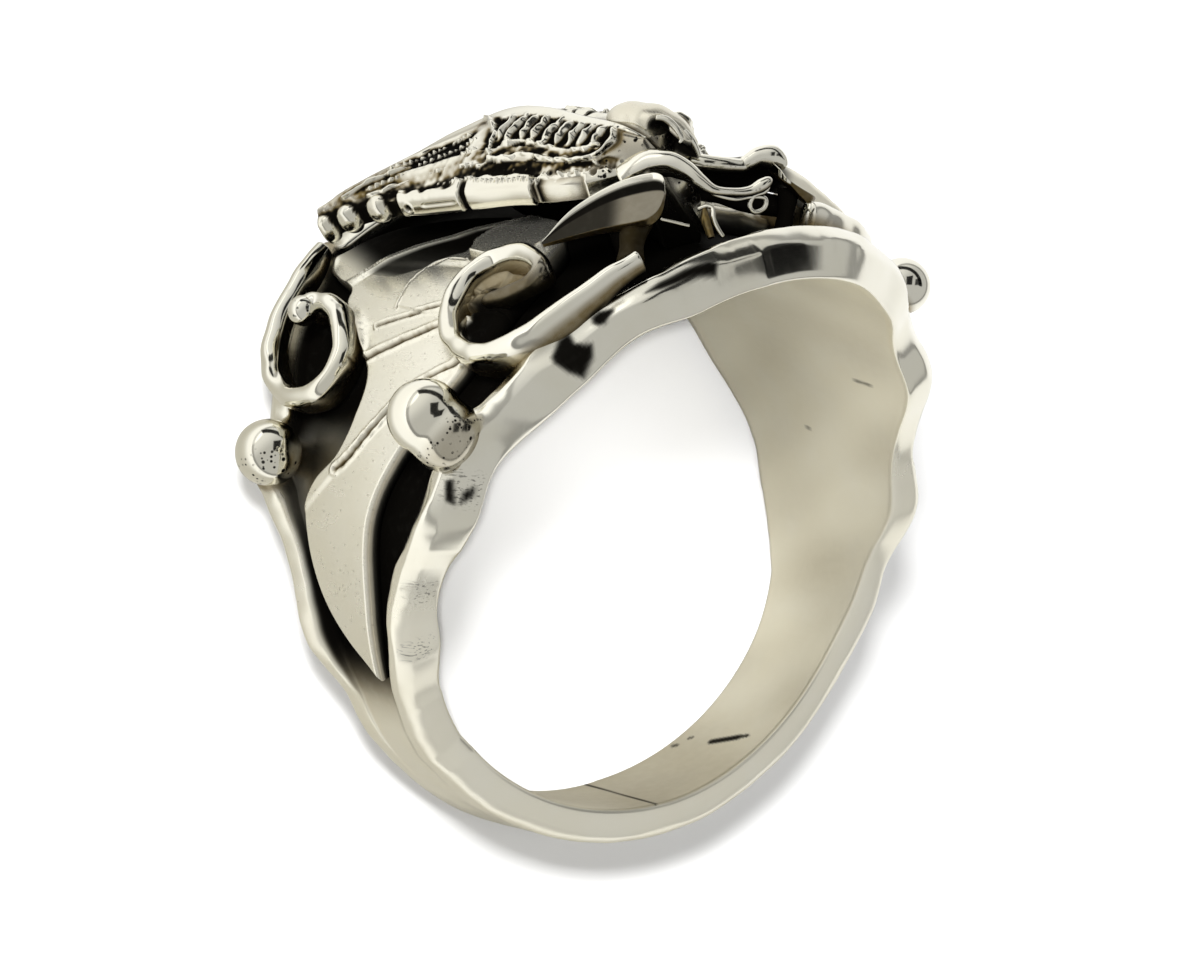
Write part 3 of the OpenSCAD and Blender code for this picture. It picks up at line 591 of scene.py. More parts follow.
def make_band():
    """The band is a closed profile carried round the finger: the finger hole's wall, a rail with
    hammered flats at each rim and the ground between them."""
    steps, rail, floor, wall = 820, 34, 8, 36
    angle = np.linspace(-180, 180, steps, endpoint=False)[:, None]
    near, far, width, top, low = (
        near_edge(angle), far_edge(angle), column(BAND, np.abs(angle), 6), crest(angle), ground(angle))
    line = angle[:, 0]
    for edge, share, seed in ((near, 0.35, 1), (top, 0.55, 2), (far, 0.35, 3)):
        edge[:, 0] = facets(line, edge[:, 0], share, seed)
    near[:, 0] += np.interp(line, *np.transpose(NEAR_SHIFT))
    far[:, 0] += np.interp(line, *np.transpose(FAR_SHIFT))
    flare = FLARE[2] * bump(angle, FLARE[0], FLARE[1])
    flatness = 0.25 + 0.47 * smooth(125, 85, np.abs(angle))
    turn = np.linspace(0, np.pi, rail)[None, :] + 0 * angle

    def rails(edge, sense, seed):
        breaks = [np.radians(mid + struck(line, seed + k, 9)[:, None] + 0 * turn)
                  for k, mid in enumerate((40, 86, 134))]
        breaks = [0 * turn, *breaks, np.pi + 0 * turn]
        return flats(edge, width, sense, RIM_LIFT, low, top, turn, breaks, flatness)

    near_rail = rails(near, 1, 31)
    far_rail = [x[:, ::-1] for x in rails(far, -1, 41)]
    a, b = near + width, far - width
    v = np.linspace(0, 1, floor + 2)[1:-1][None, :]
    w = np.linspace(0, 1, wall + 2)[1:-1][None, :]
    zero = 0 * near
    along = np.concatenate([
        near + 0.10, near + 0.02, near_rail[0], a + (b - a) * v, far_rail[0],
        far - 0.02, far - 0.10, far - 0.10 + (near - far + 0.2) * w], 1)
    height = np.concatenate([
        0.85 * flare, 0.95 * flare + 0.07, near_rail[1] + flare * smooth(1.5, 0.0, turn), low + 0 * v,
        far_rail[1], zero + 0.07, zero, zero + flare * smooth(0.80, 1.0, w) ** 2], 1)
    turns = angle + 0 * along
    off_top = np.abs(turns)
    p = at(turns, along, height)
    outer = height > 0.3
    heap = np.where(turns < 0, solder(p, LEFT), solder(p, RIGHT)) * outer
    wobble = (0.025 * noise(p, 3.1, 4) + 0.012 * noise(p, 1.2, 24)) * smooth(0.3, 0.9, height)
    p = at(turns, along, height + heap + wobble)
    inside = (along > a - 0.35) & (along < b + 0.35) & outer
    deep = inside * smooth(0.75, 0.30, (height - low) / np.maximum(top - low, 0.05))
    browned = bump(turns, -70, 16) * bump(along, 1.6, 3.2) * inside
    bore = (height - flare < 0.04) * 1.0
    # The finger hole's wall is browner towards the bottom of the shank, with some clouding
    darker_to_shank = 0.10 + 0.34 * smooth(140, 175, off_top) + 0.10 * noise(p, 3.5, 29)
    soot = deep * smooth(112, 100, off_top) * (1 - smooth(0.12, 0.3, heap)) * (1 - 0.85 * browned)
    patina = np.maximum.reduce([
        0.8 * outer * smooth(0.05, 0.25, heap), 0.8 * deep * bump(off_top, 104, 14),
        0.95 * browned, bore * darker_to_shank])
    satin = np.maximum(bore, 0.75 * smooth(62, 100, off_top))
    for a0, y0, a1, y1, half, dark in MARKS:
        ends = at(np.array([a0, a1]), np.array([y0, y1]), np.zeros(2))
        soot = np.maximum(soot, dark * bore * smooth(half, 0.3 * half, distance(p, ends)[0]))
    near_part = np.stack([angle + 0 * turn, np.degrees(turn)], -1)
    # Painted dark reflections on the near rail go into the blackening mask
    for outline in RAIL_REFLECTIONS:
        reflection_patch = REFLECTION_DARK * smooth(-0.12, 0.10, within(near_part, outline, [DEGREE, TURN]))
        soot[:, 2:2 + rail] = np.maximum(soot[:, 2:2 + rail], reflection_patch)
    filed = sum(outer * bump(turns, a0, da) * bump(along, y0, dy) for a0, y0, da, dy in FILED)
    skin("band", p, "band_silver", "band", loop=True, finish="band",
         masks={"soot": soot, "patina": patina, "satin": satin, "filed": filed})


def leaf_height(angle, along):
    """Top of a leaf: feathers that step up towards the eagle."""
    steps = sum(sizes().step / MM * smooth(-0.9, 0.9, a + k * along - angle) for a, k in STEPS)
    return sizes().ground / MM + FILM + sizes().leaf / MM + steps


def make_leaf(side):
    """A leaf is a plate over a grid of angle and of place from its far to its near edge; grooves
    sink it by a bell of the distance to each engraved line."""
    steps, cols, under = (460, 150, 8) if side < 0 else (300, 100, 8)
    angle = np.linspace(LEAF[0][0], LEAF[-1][0], steps)[:, None]
    far, near = column(LEAF, angle, 1), column(LEAF, angle, 2)
    along = far + (near - far) * np.linspace(0, 1, cols)[None, :]
    height = leaf_height(angle, along)
    flat = at(-angle, along, LEAF_LEVEL)
    groove, stained, petal = (np.zeros(height.shape) for _ in range(3))
    for half, deep, *line in LEAF_LINES:
        pts = on_path(line, np.linspace(0, 1, 40))
        gap = distance(flat, at(-pts[:, 0], pts[:, 1], LEAF_LEVEL))[0]
        gap = np.abs(gap + 0.015 * noise(flat, 0.5, 25))
        cut = bell(gap, half)
        groove = np.maximum(groove, cut)
        if half > THIN_LINE:
            stained = np.maximum(stained, bell(gap, 3.2 * half) * smooth(-0.2, 0.8, noise(flat, 0.35, 28)))
        height = height - deep * cut + 0.4 * deep * bell(gap - 2.6 * half, half)
    for rise, *outline in PETALS:
        depth = within(np.stack([angle + 0 * along, along], -1), outline, [DEGREE, 1.0])
        petal = np.maximum(petal, smooth(-0.02, 0.10, depth))
        height = height + rise * smooth(-0.02, 0.10, depth)
    crease = along - np.interp(-angle, *np.transpose(RIDGE) * [[-1], [1]])
    ridge = np.exp(-((crease / RIDGE_HALF) ** 4)) * smooth(35.5, 33.5, angle)
    height = height + RIDGE_TALL * ridge * (1 - 0.7 * bell(crease, 0.05))
    border = np.minimum(np.abs(far - along), np.abs(along - near))
    height = height - 0.16 * (1 - smooth(0, 0.28, border)) ** 2
    heap = solder(at(-angle, along, height), LEFT, 0.10, 0.16)
    top = at(-angle, along, height + heap)
    bottom = at(-angle, far + (near - far) * np.linspace(1, 0, under)[None, :], ground(angle) + FILM)
    # Painted shade under the wing: black above the ridge, and a band below it down to the line, with a
    # ragged edge
    line = np.interp(-angle, *np.transpose(LEAF_SHADE) * [[-1], [1]])
    blotch = noise(flat, 0.9, 26)
    shade_below_ridge = smooth(0.0, 0.16, along - line + 0.06 * blotch) * smooth(32.0, 29.5, angle)
    shade_below_ridge = shade_below_ridge * (crease < 0) * (1 - petal) * (0.8 + 0.2 * smooth(28, 20, angle))
    shadow = smooth(0.05, 0.3, crease) * smooth(33.0, 27.0, angle + crease)

    def place_of(spot, k):
        gap = np.hypot((angle - spot[0]) * DEGREE, along - spot[1]) + k * blotch
        return smooth(spot[2], 0.75 * spot[2], gap)

    edges = 0.6 * smooth(0.05, 0.3, heap) + 0.6 * smooth(0.14, 0.03, border)
    patina = np.clip(0.95 * groove + 0.3 * stained, 0, 1) + edges
    masks = {
        "soot": np.maximum.reduce([
            np.maximum(shade_below_ridge, shadow) * (1 - ridge), 0.5 * groove ** 3, place_of(NEST, 0.12)]),
        "patina": np.maximum(patina, 0.85 * place_of(BROWNED, 0.2)),
        "satin": 0.45 + 0 * height, "pores": 0.22 + 0 * height}
    low = np.ones((steps, under))
    masks = {k: np.concatenate([m, low * (k == "soot")], 1) for k, m in masks.items()}
    name = "leaf_left" if side < 0 else "leaf_right"
    rings = np.concatenate([top, bottom], 1) * (MIRROR if side > 0 else 1)
    skin(name, rings, "leaf_silver", name, masks=masks, finish="leaf")


def tube(path, radii, level, sides, squash=1.0):
    """Rings of a round wire: circles square to the path, that keep level with a direction."""
    along = unit(np.gradient(path, axis=0))
    b = unit(np.cross(along, level))
    a = np.cross(b, along)
    turn = 2 * np.pi * (np.arange(sides) + 0.5) / sides
    ring = np.cos(turn)[None, :, None] * a[:, None] + np.sin(turn)[None, :, None] * b[:, None] * squash
    return path[:, None] + radii[:, None, None] * ring


def swell(rings, path, amount):
    """Rings moved away from their path by an amount in mm at each point."""
    return rings + amount[..., None] * unit(rings - path[:, None])


def rounded_ends(count, first, last):
    """Share of a wire's size near its ends: a quarter circle over some steps at each."""
    k = np.arange(count)
    share = np.ones(count)
    for d, run in ((k, first), (count - 1 - k, last)):
        share = share * np.sqrt(np.clip(1 - (np.clip(run - d, 0, run) / (run * 1.02)) ** 2, 0, 1))
    return share


def make_scroll(name):
    """A scroll is a strip on edge: an ellipse across the path, its lower half drawn downwards."""
    count, sides = 260, 36
    path, share, turns = wire_path(name, count)
    level, step = up(turns), np.arange(count)
    radii = sizes().wire / MM * share * rounded_ends(count, 10, 2)
    radii = radii * (1 + 0.04 * np.sin(step / 9) + 0.02 * np.sin(step / 3.7))
    rings = tube(path, radii, level, sides, 0.80)
    low = ((rings - path[:, None]) * level[:, None]).sum(-1) / radii[:, None]
    near = name.startswith("near")
    taper = np.clip((share - 0.55) / 0.45, 0.25, 1)[:, None]
    drawn = smooth(0.15, -0.75, low) * taper * (NEAR_DRAWN if near else FAR_DRAWN)
    rings = rings - drawn[..., None] * level[:, None]
    rings = swell(rings, path, 0.02 * noise(rings, 1.3, 5))
    browned = near * smooth(76, 40, step)[:, None]
    skin(name, rings, "wire_silver", name, masks={
        "patina": 0.95 * np.maximum(smooth(0.20, -0.30, low), 0.9 * browned),
        "pores": smooth(46, 10, step)[:, None] * (0.35 if near else 0.8),
        "soot": np.maximum(0.9 * smooth(-0.3, -0.9, low), 0.3 * browned)})
    if not near:
        angle, along, height, radius = SCROLL_BALL
        centre = at(np.sign(turns[0]) * angle, along, height)
        skin(name + "_end", centre + radius * directions(40, 56), "wire_silver", masks={"pores": 0.9})


def make_tongue(name):
    """A tongue is a drop-shaped plate that leans to the near side, with a raised lip round its
    far edge, a brushed face, a thick side and a flared post under its round end."""
    side = LEFT if name.endswith("left") else RIGHT
    steps, cols = 160, 48
    q = on_path(TONGUES[name], np.linspace(0, 1, steps))
    q[:, 3] = q[:, 3] * rounded_ends(steps, 1, 30 if side < 0 else 6)
    mid = at(-q[:, 0], q[:, 1], q[:, 2])[:, None]
    out = up(-q[:, 0])
    across = unit(np.cross(out, unit(np.gradient(mid[:, 0], axis=0))))
    across = (across * np.where(across[:, 1:2] < 0, -1, 1))[:, None]
    out = out[:, None]
    v = np.linspace(-1, 1, cols)[None, :, None]
    half = q[:, 3][:, None, None]
    lip = TONGUE_LIP * smooth(0.62, 0.92, v) * smooth(0.1, 0.5, half)
    top = mid + half * v * across + out * (TONGUE_LEAN * half * v + lip - 0.10 * half * (1 - v**2))
    back = v[:, ::-1]
    low = mid + 0.86 * half * back * across + out * (TONGUE_LEAN * half * back - 0.12 - 0.30 * half)
    down = np.linspace(0, 1, 12)[1:-1][None, :, None]
    wall_a = top[:, -1:] + (low[:, :1] - top[:, -1:]) * down
    wall_b = low[:, -1:] + (top[:, :1] - low[:, -1:]) * down
    rings = soften(np.concatenate([top, wall_a, low, wall_b], 1), 4)
    rest = rings.shape[1] - cols
    face = np.pad(smooth(0.80, 0.66, v[0, :, 0]), (0, rest))
    sunk = np.pad(between(v[0, :, 0], 0.30, 0.42, 0.70, 0.80), (0, rest))
    below = np.arange(cols + rest) >= cols + 8
    # The tongue's face is blacker towards its tip and paler towards its round end
    paler_end = smooth(0.45, 0.62, np.linspace(0, 1, steps))[:, None]
    masks = {"satin": 0.9 * face, "patina": 0.60 * face + below,
             "soot": np.maximum(np.maximum(0.95 * sunk, 0.25 * below), face * (0.80 - 0.45 * paler_end))}
    flip = MIRROR if side > 0 else 1
    skin(name, rings * flip, "wire_silver", name, masks=masks)
    for k, (sooted, *rows) in enumerate(POSTS[name]):
        q = on_path(rows, np.linspace(0, 1, 40))
        path = at(-q[:, 0], q[:, 1], q[:, 2])
        rings = tube(path, q[:, 3], np.array([0, 1.0, 0]), 36, 0.75)
        rings = swell(rings, path, 0.02 * noise(rings, 1.3, 6))
        skin(f"{name}_post_{k + 1}", rings * flip, "wire_silver", finish="brushed",
             masks={"patina": 1.0, "soot": sooted})


def directions(rows, cols):
    """Directions by latitude and longitude: (cos a cos b, cos a sin b, sin a)."""
    lean = np.linspace(-np.pi / 2 + 0.01, np.pi / 2 - 0.01, rows)[:, None]
    turn = np.linspace(0, 2 * np.pi, cols, endpoint=False)[None, :]
    return np.stack([np.cos(lean) * np.cos(turn), np.cos(lean) * np.sin(turn), np.sin(lean) + 0 * turn], -1)


def make_ball(name):
    """A ball is a sphere of latitude and longitude, swelled a little by smooth noise and drawn
    out to its neck of solder by a smooth step of the cosine to it."""
    centre, radius = ball_centre(name)
    way = directions(72, 104)
    neck = np.zeros(way.shape[:2])
    if name in NECKS:
        angle, along, height, far, start, full = NECKS[name]
        aim = unit(at(BALLS[name][0] * angle, along, height) - centre)
        neck = smooth(start, full, way @ aim)
        radius = radius + far * neck ** 1.4 + 0.03 * neck * noise(way, 0.7, 27)
    swelled = radius * (1 + 0.008 * noise(way, 1.6, len(name)))
    low = way @ unit(centre * OUTWARD)
    pores = smooth(0.1, 0.8, way @ unit(PITTED_WAY)) if "far" in name else 0.15 * smooth(0.5, 1, -low)
    skin(name, centre + swelled[..., None] * way, "ball_silver", name, masks={
        "patina": np.maximum(smooth(-0.35, -0.75, low), 0.45 * smooth(0.15, 0.8, neck)),
        "pores": np.maximum(pores, 0.8 * smooth(0.1, 0.5, neck))})


def wing_at(s, col):
    """Point of the wing's table at how far along it is, from three columns."""
    p = np.stack([column(WING, s, col + k) for k in range(3)], -1)
    p[..., 2] += BORE_R
    return p


def wing_top(s, across):
    """Left half of the eagle's top before its relief: across from 0 at the middle of the back,
    1 at the wing's rim, to 2 at its lower edge, bulged by a half sine."""
    rim, edge, back = wing_at(s, 1), wing_at(s, 4), wing_at(s, 7)
    a = np.asarray(across, float)[..., None]
    t = np.maximum(a - 1, 0)
    on_back = back + (rim - back) * a
    on_back[..., 2] += (BACK_RISE * (smooth(0, 1, a) - a))[..., 0]
    p = np.where(a <= 1, on_back, rim + (edge - rim) * t)
    return p + unit(p * OUTWARD) * np.where(a <= 1, 0, WING_BULGE * np.sin(np.pi * t))


def wing_foot(p):
    """Underside of the eagle: the wing's thickness below its top, down to the ground under the
    body, towards the finger's axis."""
    r = np.linalg.norm(p[..., [0, 2]], axis=-1)
    seat = (smooth(SEAT_HALF + 0.5, SEAT_HALF - 0.5, np.abs(p[..., 0]))
            * between(p[..., 1], SEAT_NEAR - 0.4, SEAT_NEAR + 0.6, SEAT_FAR - 0.6, SEAT_FAR + 0.4))
    low = BORE_R + sizes().ground / MM + FILM
    foot = np.maximum((r - WING_T) * (1 - seat) + low * seat, low)
    return p * np.stack([foot / r, np.ones_like(r), foot / r], -1)


# Sunk panels: where each begins, is full, begins to end and ends, along the wing and down its side
PANELS = [
    [0.11, 0.15, 0.55, 0.6, 0.13, 0.19, 0.66, 0.74], [0.6, 0.64, 0.74, 0.86, 0.22, 0.34, 0.9, 0.98],
    [0.06, 0.12, 0.78, 0.86, 0.74, 0.8, 0.86, 0.9],
]
# Middles of the covert feathers, along the wing
COVERTS = [0.52, 0.478, 0.428, 0.388, 0.338, 0.3, 0.256, 0.212, 0.172]
# Pits of the wing: how far along, how far down its side, radius and depth in mm
PITS = [
    [0.73, 0.615, 0.2, 0.22], [0.838, 0.605, 0.14, 0.14], [0.135, 0.52, 0.26, 0.2],
    [0.16, 0.44, 0.16, 0.16], [0.455, 0.26, 0.15, 0.16], [0.36, 0.66, 0.14, 0.12], [0.24, 0.66, 0.16, 0.12],
    [0.15, 0.9, 0.18, 0.16], [0.11, 0.8, 0.16, 0.16], [0.6, 0.64, 0.12, 0.12], [0.66, 0.42, 0.12, 0.12],
    [0.77, 0.44, 0.15, 0.12],
]
# Long plates on the lower edge, from and to along the wing; the rounded tips' middles, how far
# under the edge they sit and half their width and height; the drilled dot's place and drop
PLATES = [[0.335, 0.575], [0.588, 0.812]]
TIPS = [0.868, 0.938, 0.992]
TIP_DROP, TIP_HALF, TIP_TALL = 0.30, 0.52, 0.62
DRILLED = [0.775, 0.33]


def wing_relief(s, across, p):
    """Relief of one wing: a rolled rim, sunk panels, strokes that are bells of the distance to a
    line (cut into beads by a cosine), plates on the lower edge and rounded feather tips."""
    t = across - 1
    side = (t >= 0) & (t <= 1)
    rough = 0.10 * noise(p, 0.9, 11)
    u, v = s + 0.05 * rough, t + 0.35 * rough
    coverts, hand, lower = (between(u, *row[:4]) * between(v, *row[4:]) for row in PANELS)
    panels = np.maximum.reduce([coverts, hand, lower])
    h = -0.20 * panels
    for k, mid in enumerate(COVERTS):
        ridge = bell(u - mid - 0.035 * (v - 0.35), 0.0125) * between(v, 0.12, 0.2, 0.44, 0.60)
        h = h + 0.30 * ridge * (1 + 0.12 * np.cos(v * 30 + 2.1 * k))
    h = h + 0.13 * coverts * smooth(0.48, 0.58, v) * (0.3 + 0.7 * noise(p, 0.45, 12))
    shaken = p + 0.05 * np.stack([noise(p, 0.8, k) for k in (13, 14, 15)], -1)
    for high, half, beads, *points in STROKES:
        line = on_path(points, np.linspace(0, 1, 6 * len(points)))
        gap, arc = distance(shaken, wing_top(line[:, 0], 1 + line[:, 1]))
        cut = 1 if not beads else 0.5 + 0.5 * np.cos(2 * np.pi * arc / beads + 1.5 * noise(p, 0.7, 16))
        h = h + 1.3 * high * cut * (1 + 0.2 * noise(p, 0.6, 17)) * bell(gap, half)
    h = h + 0.09 * bump(t, 0.04, 0.16) * side * smooth(0.80, 0.70, s)
    for place_s, place_t, wide, deep in PITS:
        gap = np.linalg.norm(p - wing_top(np.array(place_s), 1 + place_t), axis=-1)
        h = h - deep * smooth(wide, 0.4 * wide, gap)
    plate = sum(between(s, a, a + 0.008, b - 0.008, b) for a, b in PLATES)
    h = h + plate * smooth(0.84, 0.90, t) * (0.11 + 0.06 * np.sin(np.pi * np.clip((t - 0.85) / 1.15, 0, 1)))
    notch = between(s, 0.17, 0.19, 0.315, 0.325) * between(t, 0.90, 1.02, 1.8, 1.95)
    h = h - (0.34 + 0.08 * noise(p, 0.4, 18)) * notch
    for mid in TIPS:
        top = wing_top(np.array([mid]), np.array([2.0]))
        axis = unit(wing_foot(top) - top)[0]
        offset = p - (top[0] + axis * TIP_DROP)
        down = offset @ axis
        rest = np.linalg.norm(offset - down[..., None] * axis, axis=-1)
        ball = 1 - (rest / TIP_HALF) ** 2 - (down / TIP_TALL) ** 2
        h = np.where(t > 0.6, np.maximum(h, -0.05 + 0.34 * np.sqrt(np.clip(ball, 0, 1))), h)
    spot = wing_top(np.array([DRILLED[0]]), np.array([2.0]))[0]
    gap = np.linalg.norm(p - spot + unit(spot * OUTWARD) * DRILLED[1], axis=-1)
    h = h - 0.22 * smooth(0.15, 0.07, gap) + 0.03 * bump(gap, 0.20, 0.07)
    h = h - 0.05 * between(s, 0.60, 0.62, 0.70, 0.72) * bell(t - 1.36, 0.07)
    grain = noise(p, 0.26, 8) * 0.012 + noise(p, 0.5, 9) * 0.020
    return h + grain * np.maximum(panels, 0.7 * smooth(0.60, 0.72, s) * smooth(0.2, 0.4, t) * side)


def back_relief(s, across, p):
    """Back and tail: scalloped rows of small feathers, then long tail feathers side by side."""
    x, y = p[..., 0], p[..., 1]
    row = y / 0.9
    shift = np.floor(row) % 2 * 0.5
    u = (np.abs(x) / 0.8 + shift) % 1 - 0.5
    v = row % 1
    scales = 0.10 * smooth(0.0, 0.25, 1.0 - v - 1.6 * u**2)
    fan = np.degrees(np.arctan2(np.abs(x), y + 5.5))
    tail = 0.12 * np.abs(np.cos(np.pi * fan / 9.0)) ** 0.6
    is_tail = smooth(1.2, 1.8, y)
    return (scales * (1 - is_tail) + tail * is_tail) * smooth(0.95, 0.75, across) * smooth(-2.6, -1.4, y)


def make_eagle_body():
    """The eagle's sheet is a grid of stations along the wings and of points across both wings and
    the back; the relief moves it along its normals."""
    rows, back, side, wall, under = 330, 24, 88, 16, 24
    s = np.linspace(0, 1, rows)[:, None]
    across = np.concatenate([np.linspace(0, 1, back, endpoint=False), 1 + np.linspace(0, 1, side)])[None, :]
    top = wing_top(s + 0 * across, across + 0 * s)
    foot = wing_foot(top[:, -1:])
    down = np.linspace(0, 1, wall + 1)[1:][None, :]
    half = np.concatenate([top, top[:, -1:] + (foot - top[:, -1:]) * down[..., None]], 1)
    reach = np.concatenate([across, 2 + down], 1) + 0 * s
    station = s + 0 * reach
    relief = np.where(reach < 1, back_relief(station, reach, half), wing_relief(station, reach, half))
    right = half.copy()
    right[..., 0] = half[..., 0] * (1 - RIGHT_TUCK * (1 - smooth(0.1, 0.4, s)))
    right[..., 2] = half[..., 2] - RIGHT_DROP * bump(s, 0.45, 0.40) * smooth(0.3, 1, half[..., 0])
    upper = np.concatenate([(half * MIRROR)[:, ::-1], right[:, 1:]], 1)
    tops = upper[:, wall:-wall]
    low = wing_foot(tops[:, np.linspace(tops.shape[1] - 1, 0, under).astype(int)[1:-1]])
    hidden = np.zeros((rows, low.shape[1]))
    h = np.concatenate([relief[:, ::-1], relief[:, 1:], hidden], 1)
    rings = soften(np.concatenate([upper, low], 1), 2)
    way = normals(rings)
    if way[rows // 2, back + side + wall, 2] < 0:
        way = -way
    blur = h.copy()
    for _ in range(90):
        blur = (blur + np.roll(blur, 1, 1) + np.roll(blur, -1, 1)
                + np.vstack([blur[:1], blur[:-1]]) + np.vstack([blur[1:], blur[-1:]])) / 5
    hollow = blur - h
    soot = np.clip(smooth(0.012, 0.050, hollow) * 0.97 + 0.9 * smooth(-0.11, -0.18, h), 0, 1)
    drop = np.concatenate([reach[:, ::-1], reach[:, 1:], hidden], 1) - 1
    flat = between(drop, 0.10, 0.20, 0.80, 0.86)
    patina = 0.06 + 0.75 * smooth(0.0, 0.03, hollow) + 0.45 * flat * smooth(-0.035, 0.01, hollow)
    pores = smooth(0.20, 0.10, s) * (np.abs(h) < 0.6)
    soot[:, upper.shape[1]:] = 1
    pores[:, upper.shape[1]:] = 0
    skin("eagle", rings + way * h[..., None], "eagle_silver", "eagle", finish="cast",
         masks={"soot": soot, "patina": patina, "pores": pores})


def make_head():
    """The head is a round form of circles along a bent path, hollowed between brow and beak by a
    bell of the distance to a line."""
    count, sides = 190, 124
    q = on_path(HEAD, np.linspace(0, 1, count))
    path = q[:, :3] + LIFT
    rings = tube(path, q[:, 3] * rounded_ends(count, 24, 16), LIMB_LEVEL, sides)
    line = on_path(HOLLOW, np.linspace(0, 1, 24)) + LIFT
    gap = distance(rings, line)[0] + 0.012 * noise(rings, 0.8, 21)
    sunk = smooth(HOLLOW_HALF, 0.65 * HOLLOW_HALF, gap)
    rings = swell(rings, path, -HOLLOW_DEPTH * sunk + 0.012 * noise(rings, 1.1, 23))
    pores = 0.8 * bump(rings[..., 1], -5.3, 0.9) * smooth(15.6, 15.2, rings[..., 2])
    skin("eagle_head", rings, "eagle_silver", finish="dome",
         masks={"soot": smooth(0.1, 0.5, sunk), "patina": 0.26, "satin": 0.3, "pores": pores})


def make_limb(name):
    """A limb is circles along a path, made black and brown on its underside."""
    count, sides = 160, 30
    q = on_path(LIMBS[name], np.linspace(0, 1, count))
    path = q[:, :3] + LIFT
    radii = q[:, 3] * rounded_ends(count, 6, 8)
    rings = tube(path, radii, LIMB_LEVEL, sides)
    rings = swell(rings, path, 0.04 * (radii[:, None] * noise(rings, 1.3, 7)))
    out, clean = unit(rings - path[:, None]), name in CLEAN
    low = out[..., 2] + 1.2 * clean
    root = clean * smooth(0.45, 0.30, np.linspace(0, 1, count))[:, None]
    soot = np.maximum(smooth(-0.25, -0.75, low), root * smooth(0.0, 0.4, -out[..., 1]))
    skin("eagle_" + name, rings, "eagle_silver", finish="dome", masks={
        "soot": np.maximum(soot, name in BLACK),
        "patina": np.maximum(0.8 * smooth(0.0, -0.5, low), name in BROWN),
        "pores": 0.3 * smooth(0.5, 0.0, low), "satin": 0.9 * (clean - root)})


class Value:
    """A socket that can be used in sums: an expression on values adds its Math nodes."""

    def __init__(self, tree, socket):
        self.tree, self.socket = tree, socket

    def math(self, operation, *pair):
        """Math node of an operation on two values."""
        return self.tree.node("ShaderNodeMath", {"operation": operation}, *pair)

    def __add__(self, other):
        return self.math("ADD", self, other)

    def __sub__(self, other):
        return self.math("SUBTRACT", self, other)

    def __rsub__(self, other):
        return self.math("SUBTRACT", other, self)

    def __mul__(self, other):
        return self.math("MULTIPLY", self, other)

    __radd__, __rmul__ = __add__, __mul__

    def most(self, other):
        """The greater of two values."""
        return self.math("MAXIMUM", self, other)

    def step(self, low, high):
        """Smooth step of the value, from 0 at low to 1 at high."""
        made = self.tree.node("ShaderNodeMapRange", {"interpolation_type": "SMOOTHSTEP"},
                              self, min(low, high), max(low, high), 0.0, 1.0)
        return 1 - made if low > high else made


class Tree:
    """Nodes of one material or world, added by type, settings and the values of its sockets."""

    def __init__(self, owner):
        owner.use_nodes = True
        self.nodes, self.links = owner.node_tree.nodes, owner.node_tree.links
        self.nodes.clear()

    def plug(self, socket, value):
        """Links a value to a socket, or sets the socket to a number or a colour."""
        if isinstance(value, Value):
            self.links.new(value.socket, socket)
        else:
            socket.default_value = value

    def node(self, kind, settings=None, *values, output=None, **named):
        """Node of a type: its settings, its sockets in order or by name, and its output."""
        made = self.nodes.new(kind)
        for key, value in (settings or {}).items():
            setattr(made, key, value)
        for socket, value in zip([x for x in made.inputs if x.enabled], values):
            self.plug(socket, value)
        for key, value in named.items():
            self.plug(made.inputs[key.replace("_", " ")], value)
        outputs = [x for x in made.outputs if x.enabled]
        return Value(self, made.outputs[output] if output else outputs[0]) if outputs else None

    def mix(self, factor, a, b):
        """Mix of two colours."""
        return self.node("ShaderNodeMix", {"data_type": "RGBA"}, factor, colour(a), colour(b))

    def mask(self, name):
        """Mask of the piece, by its name."""
        return self.node("ShaderNodeAttribute", {"attribute_name": name}, output="Fac")

    def noise(self, vector, scale, detail):
        """Smooth noise at a place, from 0 to 1."""
        return self.node("ShaderNodeTexNoise", None, Vector=vector, Scale=scale, Detail=detail)

    def cells(self, vector, scale):
        """Distance from a place to the middle of its cell."""
        return self.node("ShaderNodeTexVoronoi", None, Vector=vector, Scale=scale, output="Distance")


def colour(value):
    """Colour of three shares as a socket takes it, or the value that makes it."""
    return value if isinstance(value, Value) else (*value[:3], 1.0)


# Finishes: roughness of the polish, strength of the fine bumps, grain size in mm
FINISHES = {
    "polished": (0.07, 0.1, 0.9),
    "leaf": (0.13, 0.08, 1.2),
    "band": (0.11, 0.1, 1),
    "brushed": (0.24, 0.3, 0.5),
    "cast": (0.1, 0.2, 0.35),
    "dome": (0.11, 0.12, 0.8),
}
# Scale and detail of the clouding and of the grain; turn and scale of the brushing; way and size of
# the file marks; scales of the pinholes and of the pits; height of the bumps. All are in the part's
# frame, in metres or per metre
CLOUDS, GRAIN = (420.0, 3.0), (2600.0, 4.0)
BRUSH_TURN, BRUSH = (0.3, 0.2, 0.5), (9000, 700, 700)
FILE_WAY, FILE_CUT = (0.77, -0.38, 0.51), (0.0022, 0.000070, 0.000070)
PINHOLES, PITTING, BUMP = 5200.0, 2100.0, 0.00002


